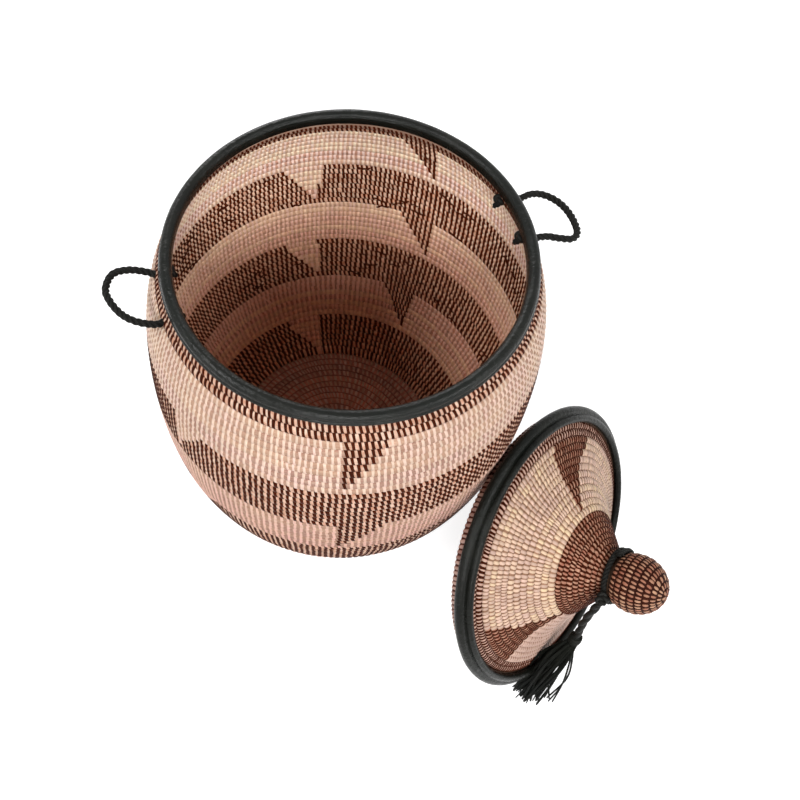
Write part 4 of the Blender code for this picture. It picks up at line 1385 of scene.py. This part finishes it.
class BASKET_OT_lid(bpy.types.Operator):
    """Make the coiled lid, its collar and its knob"""
    bl_idname = "basket.lid"
    bl_label = "Lid"

    def execute(self, context):
        """Turn the lid's coils, then lay its strips."""
        sizes = context.scene.basket_sizes
        colours = context.scene.basket_colours
        outside, inside = lid_outside(), lid_inside()
        self.make_shell(sizes, colours, outside, inside)
        dark_look = dark_strip_look("lid dark strip", colours.dark)
        cream_look = strip_look("lid cream strip", colours.lid_cream, colours.lid_cream_pink,
                                (0.47, 0.31, 0.255), 0.42)
        angles = stitch_angles(ring_counts(outside, LID_ROWS, LID_STITCH)[::-1], 61)[::-1]
        under = range(math.ceil(inside.rows[0]), math.floor(inside.rows[-1]))
        for face, line, span, slant in (("upper", outside, range(LID_ROWS), sizes.slant),
                                        ("under", inside, under, -sizes.slant)):
            dark, cream = split_rows(span, angles, lid_dark, 62, 0.5, LID_PINK_SIDE)
            strip_piece(f"lid_{face}_dark_strips", line, dark, sizes.lid_dark_share, dark_look,
                        "lid", slant, pinch=-0.35)
            strip_piece(f"lid_{face}_cream_strips", line, cream, sizes.lid_cream_share,
                        cream_look, "lid", slant * 0.6, pinch=0.25)
        self.make_collar()
        self.make_knob(sizes, colours)
        return {"FINISHED"}

    def make_shell(self, sizes, colours, outside, inside):
        """The flared cone, its neck and its hollow underside."""
        places = row_steps(LID_ROWS)
        under = places[(places >= inside.rows[0]) & (places <= inside.rows[-1])]
        hollow_top = inside.at(inside.rows[-1])[1]
        outline = [
            *row_points(outside, places, sizes.groove),
            *corners(LID_ROWS - 1, (NECK_RADIUS, NECK_TOP), (0, NECK_TOP), (0, hollow_top)),
            *row_points(inside, under[::-1], sizes.groove),
            *corners(0, (COLLAR_RADIUS - COLLAR_THICKNESS, LID_UNDER),
                     *arc((LID_COIL_RADIUS, LID_COIL_HEIGHT), COIL_HALF, -90, 90, 7))]
        look = grass_look("lid grass", (colours.lid_gap, scaled_colour(colours.lid_gap, 0.7)),
                          (colours.lid_grain, colours.lid_grain_red),
                          scaled_colour(colours.lid_gap, 0.2), depth=0.95,
                          edge=colours.lid_cream_pink)
        coil_piece("lid_coil_rows", outline, LID_SEGMENTS, (lid_dark, LID_ROWS, 62), look,
                   "lid", "lid_shell", climb=-1)

    def make_collar(self):
        """The ring that fits in the mouth, wrapped by its own stitches."""
        line = collar_face()
        rows = row_points(line, line.rows, 0)
        rows[:, :2] = np.transpose(line.at(line.rows, -COLLAR_SINK))
        rows[:, 3] *= 0.5
        inner, top = COLLAR_RADIUS - COLLAR_THICKNESS, LID_UNDER - CLEAR
        outline = [*rows, *corners(0, (inner + COLLAR_SINK, top),
                                   (COLLAR_RADIUS - COLLAR_SINK, top))]
        red = (0.085, 0.022, 0.014)
        look = grass_look("collar grass", (red, scaled_colour(red, 0.7)), (red, red),
                          scaled_colour(red, 0.4))
        coil_piece("collar_coil_ring", outline[::-1], LID_SEGMENTS, (none_dark, COLLAR_ROWS, 71),
                   look, "lid", "lid_collar")
        angles = stitch_angles([COLLAR_STITCHES] * COLLAR_ROWS, 72)
        _, strips = split_rows(range(COLLAR_ROWS), angles, none_dark, 73)
        look = strip_look("collar strip", (0.62, 0.43, 0.36), (0.50, 0.32, 0.27),
                          (0.28, 0.13, 0.10), 0.5)
        strip_piece("collar_strips", line, strips, 0.72, look, "lid", 0.5,
                    depth=0.1, lift=0.7)

    def make_knob(self, sizes, colours):
        """The coiled ball on the neck."""
        line = knob_outside()
        outline = [*row_points(line, line.rows, sizes.groove * KNOB_DEPTH),
                   *corners(KNOB_ROWS - 1, (0, KNOB_HEIGHT + KNOB_RADIUS - KNOB_DIMPLE)),
                   *corners(0, (0, KNOB_FOOT))]
        shadow = scaled_colour(colours.dark, 0.9)
        look = grass_look("knob ground", (shadow, scaled_colour(shadow, 0.6)), (shadow, shadow),
                          scaled_colour(colours.dark, 0.6), depth=0.9)
        coil_piece("knob_coil_rows", outline, KNOB_SEGMENTS, (none_dark, KNOB_ROWS, 80), look,
                   "lid", "lid_knob")
        angles = stitch_angles(ring_counts(line, KNOB_ROWS, KNOB_STITCH), 81)
        _, strips = split_rows(range(KNOB_ROWS), angles, none_dark, 82, 0.6)
        look = strip_look("knob strip", (0.49, 0.28, 0.175), (0.32, 0.155, 0.095),
                          colours.lid_grain_red, 0.45, 0.1)
        strip_piece("knob_strips", line, strips, 0.62, look, "lid", 0.2,
                    pinch=0.5, depth=0.9, lift=0.5, reach=0.78)


class BASKET_OT_lid_leather(bpy.types.Operator):
    """Make the leather round the lid's edge"""
    bl_idname = "basket.lid_leather"
    bl_label = "Lid leather"

    def execute(self, context):
        """Turn the fold with its outer roll and the bead on top."""
        centre = (LID_COIL_RADIUS, LID_COIL_HEIGHT)
        leg = COLLAR_RADIUS + 2 * CLEAR
        outline = [(leg, 0.5 * MM), (leg + 0.8 * MM, 0),
                   *arc(centre, LID_FOLD, -90, 104, 15),
                   *arc((LID_BEAD_RADIUS, LID_BEAD_HEIGHT), LID_BEAD, -14, 215, 17),
                   *arc(centre, LID_CAVITY, 90, -90, 7),
                   (leg, LID_COIL_HEIGHT - LID_CAVITY)]
        leather_ring("lid_leather_fold", outline, 91,
                     leather_look("lid leather", 0.24, gloss=0.12),
                     "lid", "lid_binding")
        return {"FINISHED"}


class BASKET_OT_neck_cord(bpy.types.Operator):
    """Wind the black cord round the neck and tie its knot"""
    bl_idname = "basket.neck_cord"
    bl_label = "Neck cord"

    def execute(self, context):
        """Wind the cord as the solid does, and tie a knot over its ends."""
        turns = np.linspace(0, TIE_TURNS, 150)
        ends = np.maximum(0, 1 - (TIE_TURNS - turns) * 24 / 3) ** 2
        reach = NECK_RADIUS + TIE_CORD_RADIUS + (0.9 + 1.5 * turns + 5 * ends) * MM
        path = around(reach, TIE_START + turns * TURN, TIE_LOW + (5.9 * turns - 2.2) * MM)
        turn, out, up = np.array(TIE_BIGHT).T
        bight = smooth_line(around(NECK_RADIUS + (4.5 + out) * MM, np.radians(turn),
                                   NECK_TOP + up * MM), 40)
        cord_piece("neck_cord_winding", [
            laid(moved(path, LID_MATRIX), TIE_CORD_RADIUS * 1.1, 3, 15 * MM, 10, 0.5, seed=5),
            laid(moved(bight, LID_MATRIX), 2.6 * MM, 3, 12 * MM, 8, 0.6),
        ], cord_look("tie cord"), "lid", ["neck_cord"])
        centre = LID_MATRIX @ tie_knot_place()
        outward = (LID_MATRIX.to_3x3() @ flat_direction(TIE_KNOT_ANGLE)).normalized()
        turn = facing(outward)
        cord_piece("neck_cord_knot", [
            overhand(centre, turn, TIE_KNOT_RADIUS * 1.05, 2.6 * MM, 0.9),
            overhand(centre - outward * 7 * MM, turn, TIE_KNOT_RADIUS * 1.2, 2.8 * MM, 1.1),
        ], cord_look("tie knot cord"), "lid", ["tie_knot"])
        return {"FINISHED"}


class BASKET_PT_panel(bpy.types.Panel):
    """The basket's steps in the sidebar"""
    bl_idname = "BASKET_PT_panel"
    bl_label = "Basket"
    bl_space_type = "VIEW_3D"
    bl_region_type = "UI"
    bl_category = "Basket"

    def draw(self, context):
        """List the settings and the steps."""
        column = self.layout.column()
        for name in GROUPS:
            group = getattr(context.scene, name)
            for key in group.__annotations__:
                column.prop(group, key)
        for step in STEPS:
            column.operator(step.bl_idname)


STEPS = (BASKET_OT_stage, BASKET_OT_tassel, BASKET_OT_wall, BASKET_OT_floor, BASKET_OT_rim,
         BASKET_OT_handles, BASKET_OT_lid, BASKET_OT_lid_leather, BASKET_OT_neck_cord)
GROUPS = {"basket_sizes": BasketSizes, "basket_colours": BasketColours,
          "basket_stage": BasketStage}


def register():
    """Register the settings, the steps and the panel."""
    for item in (*GROUPS.values(), *STEPS, BASKET_PT_panel):
        bpy.utils.register_class(item)
    for name, group in GROUPS.items():
        setattr(bpy.types.Scene, name, PointerProperty(type=group))


def unregister():
    """Take them all out again."""
    for name in GROUPS:
        delattr(bpy.types.Scene, name)
    for item in (BASKET_PT_panel, *reversed(STEPS), *GROUPS.values()):
        bpy.utils.unregister_class(item)


def main():
    """Make every piece in order."""
    register()
    bpy.ops.basket.stage()
    bpy.ops.basket.tassel()
    bpy.ops.basket.wall()
    bpy.ops.basket.base()
    bpy.ops.basket.rim()
    bpy.ops.basket.handles()
    bpy.ops.basket.lid()
    bpy.ops.basket.lid_leather()
    bpy.ops.basket.neck_cord()


if __name__ == "__main__":
    main()
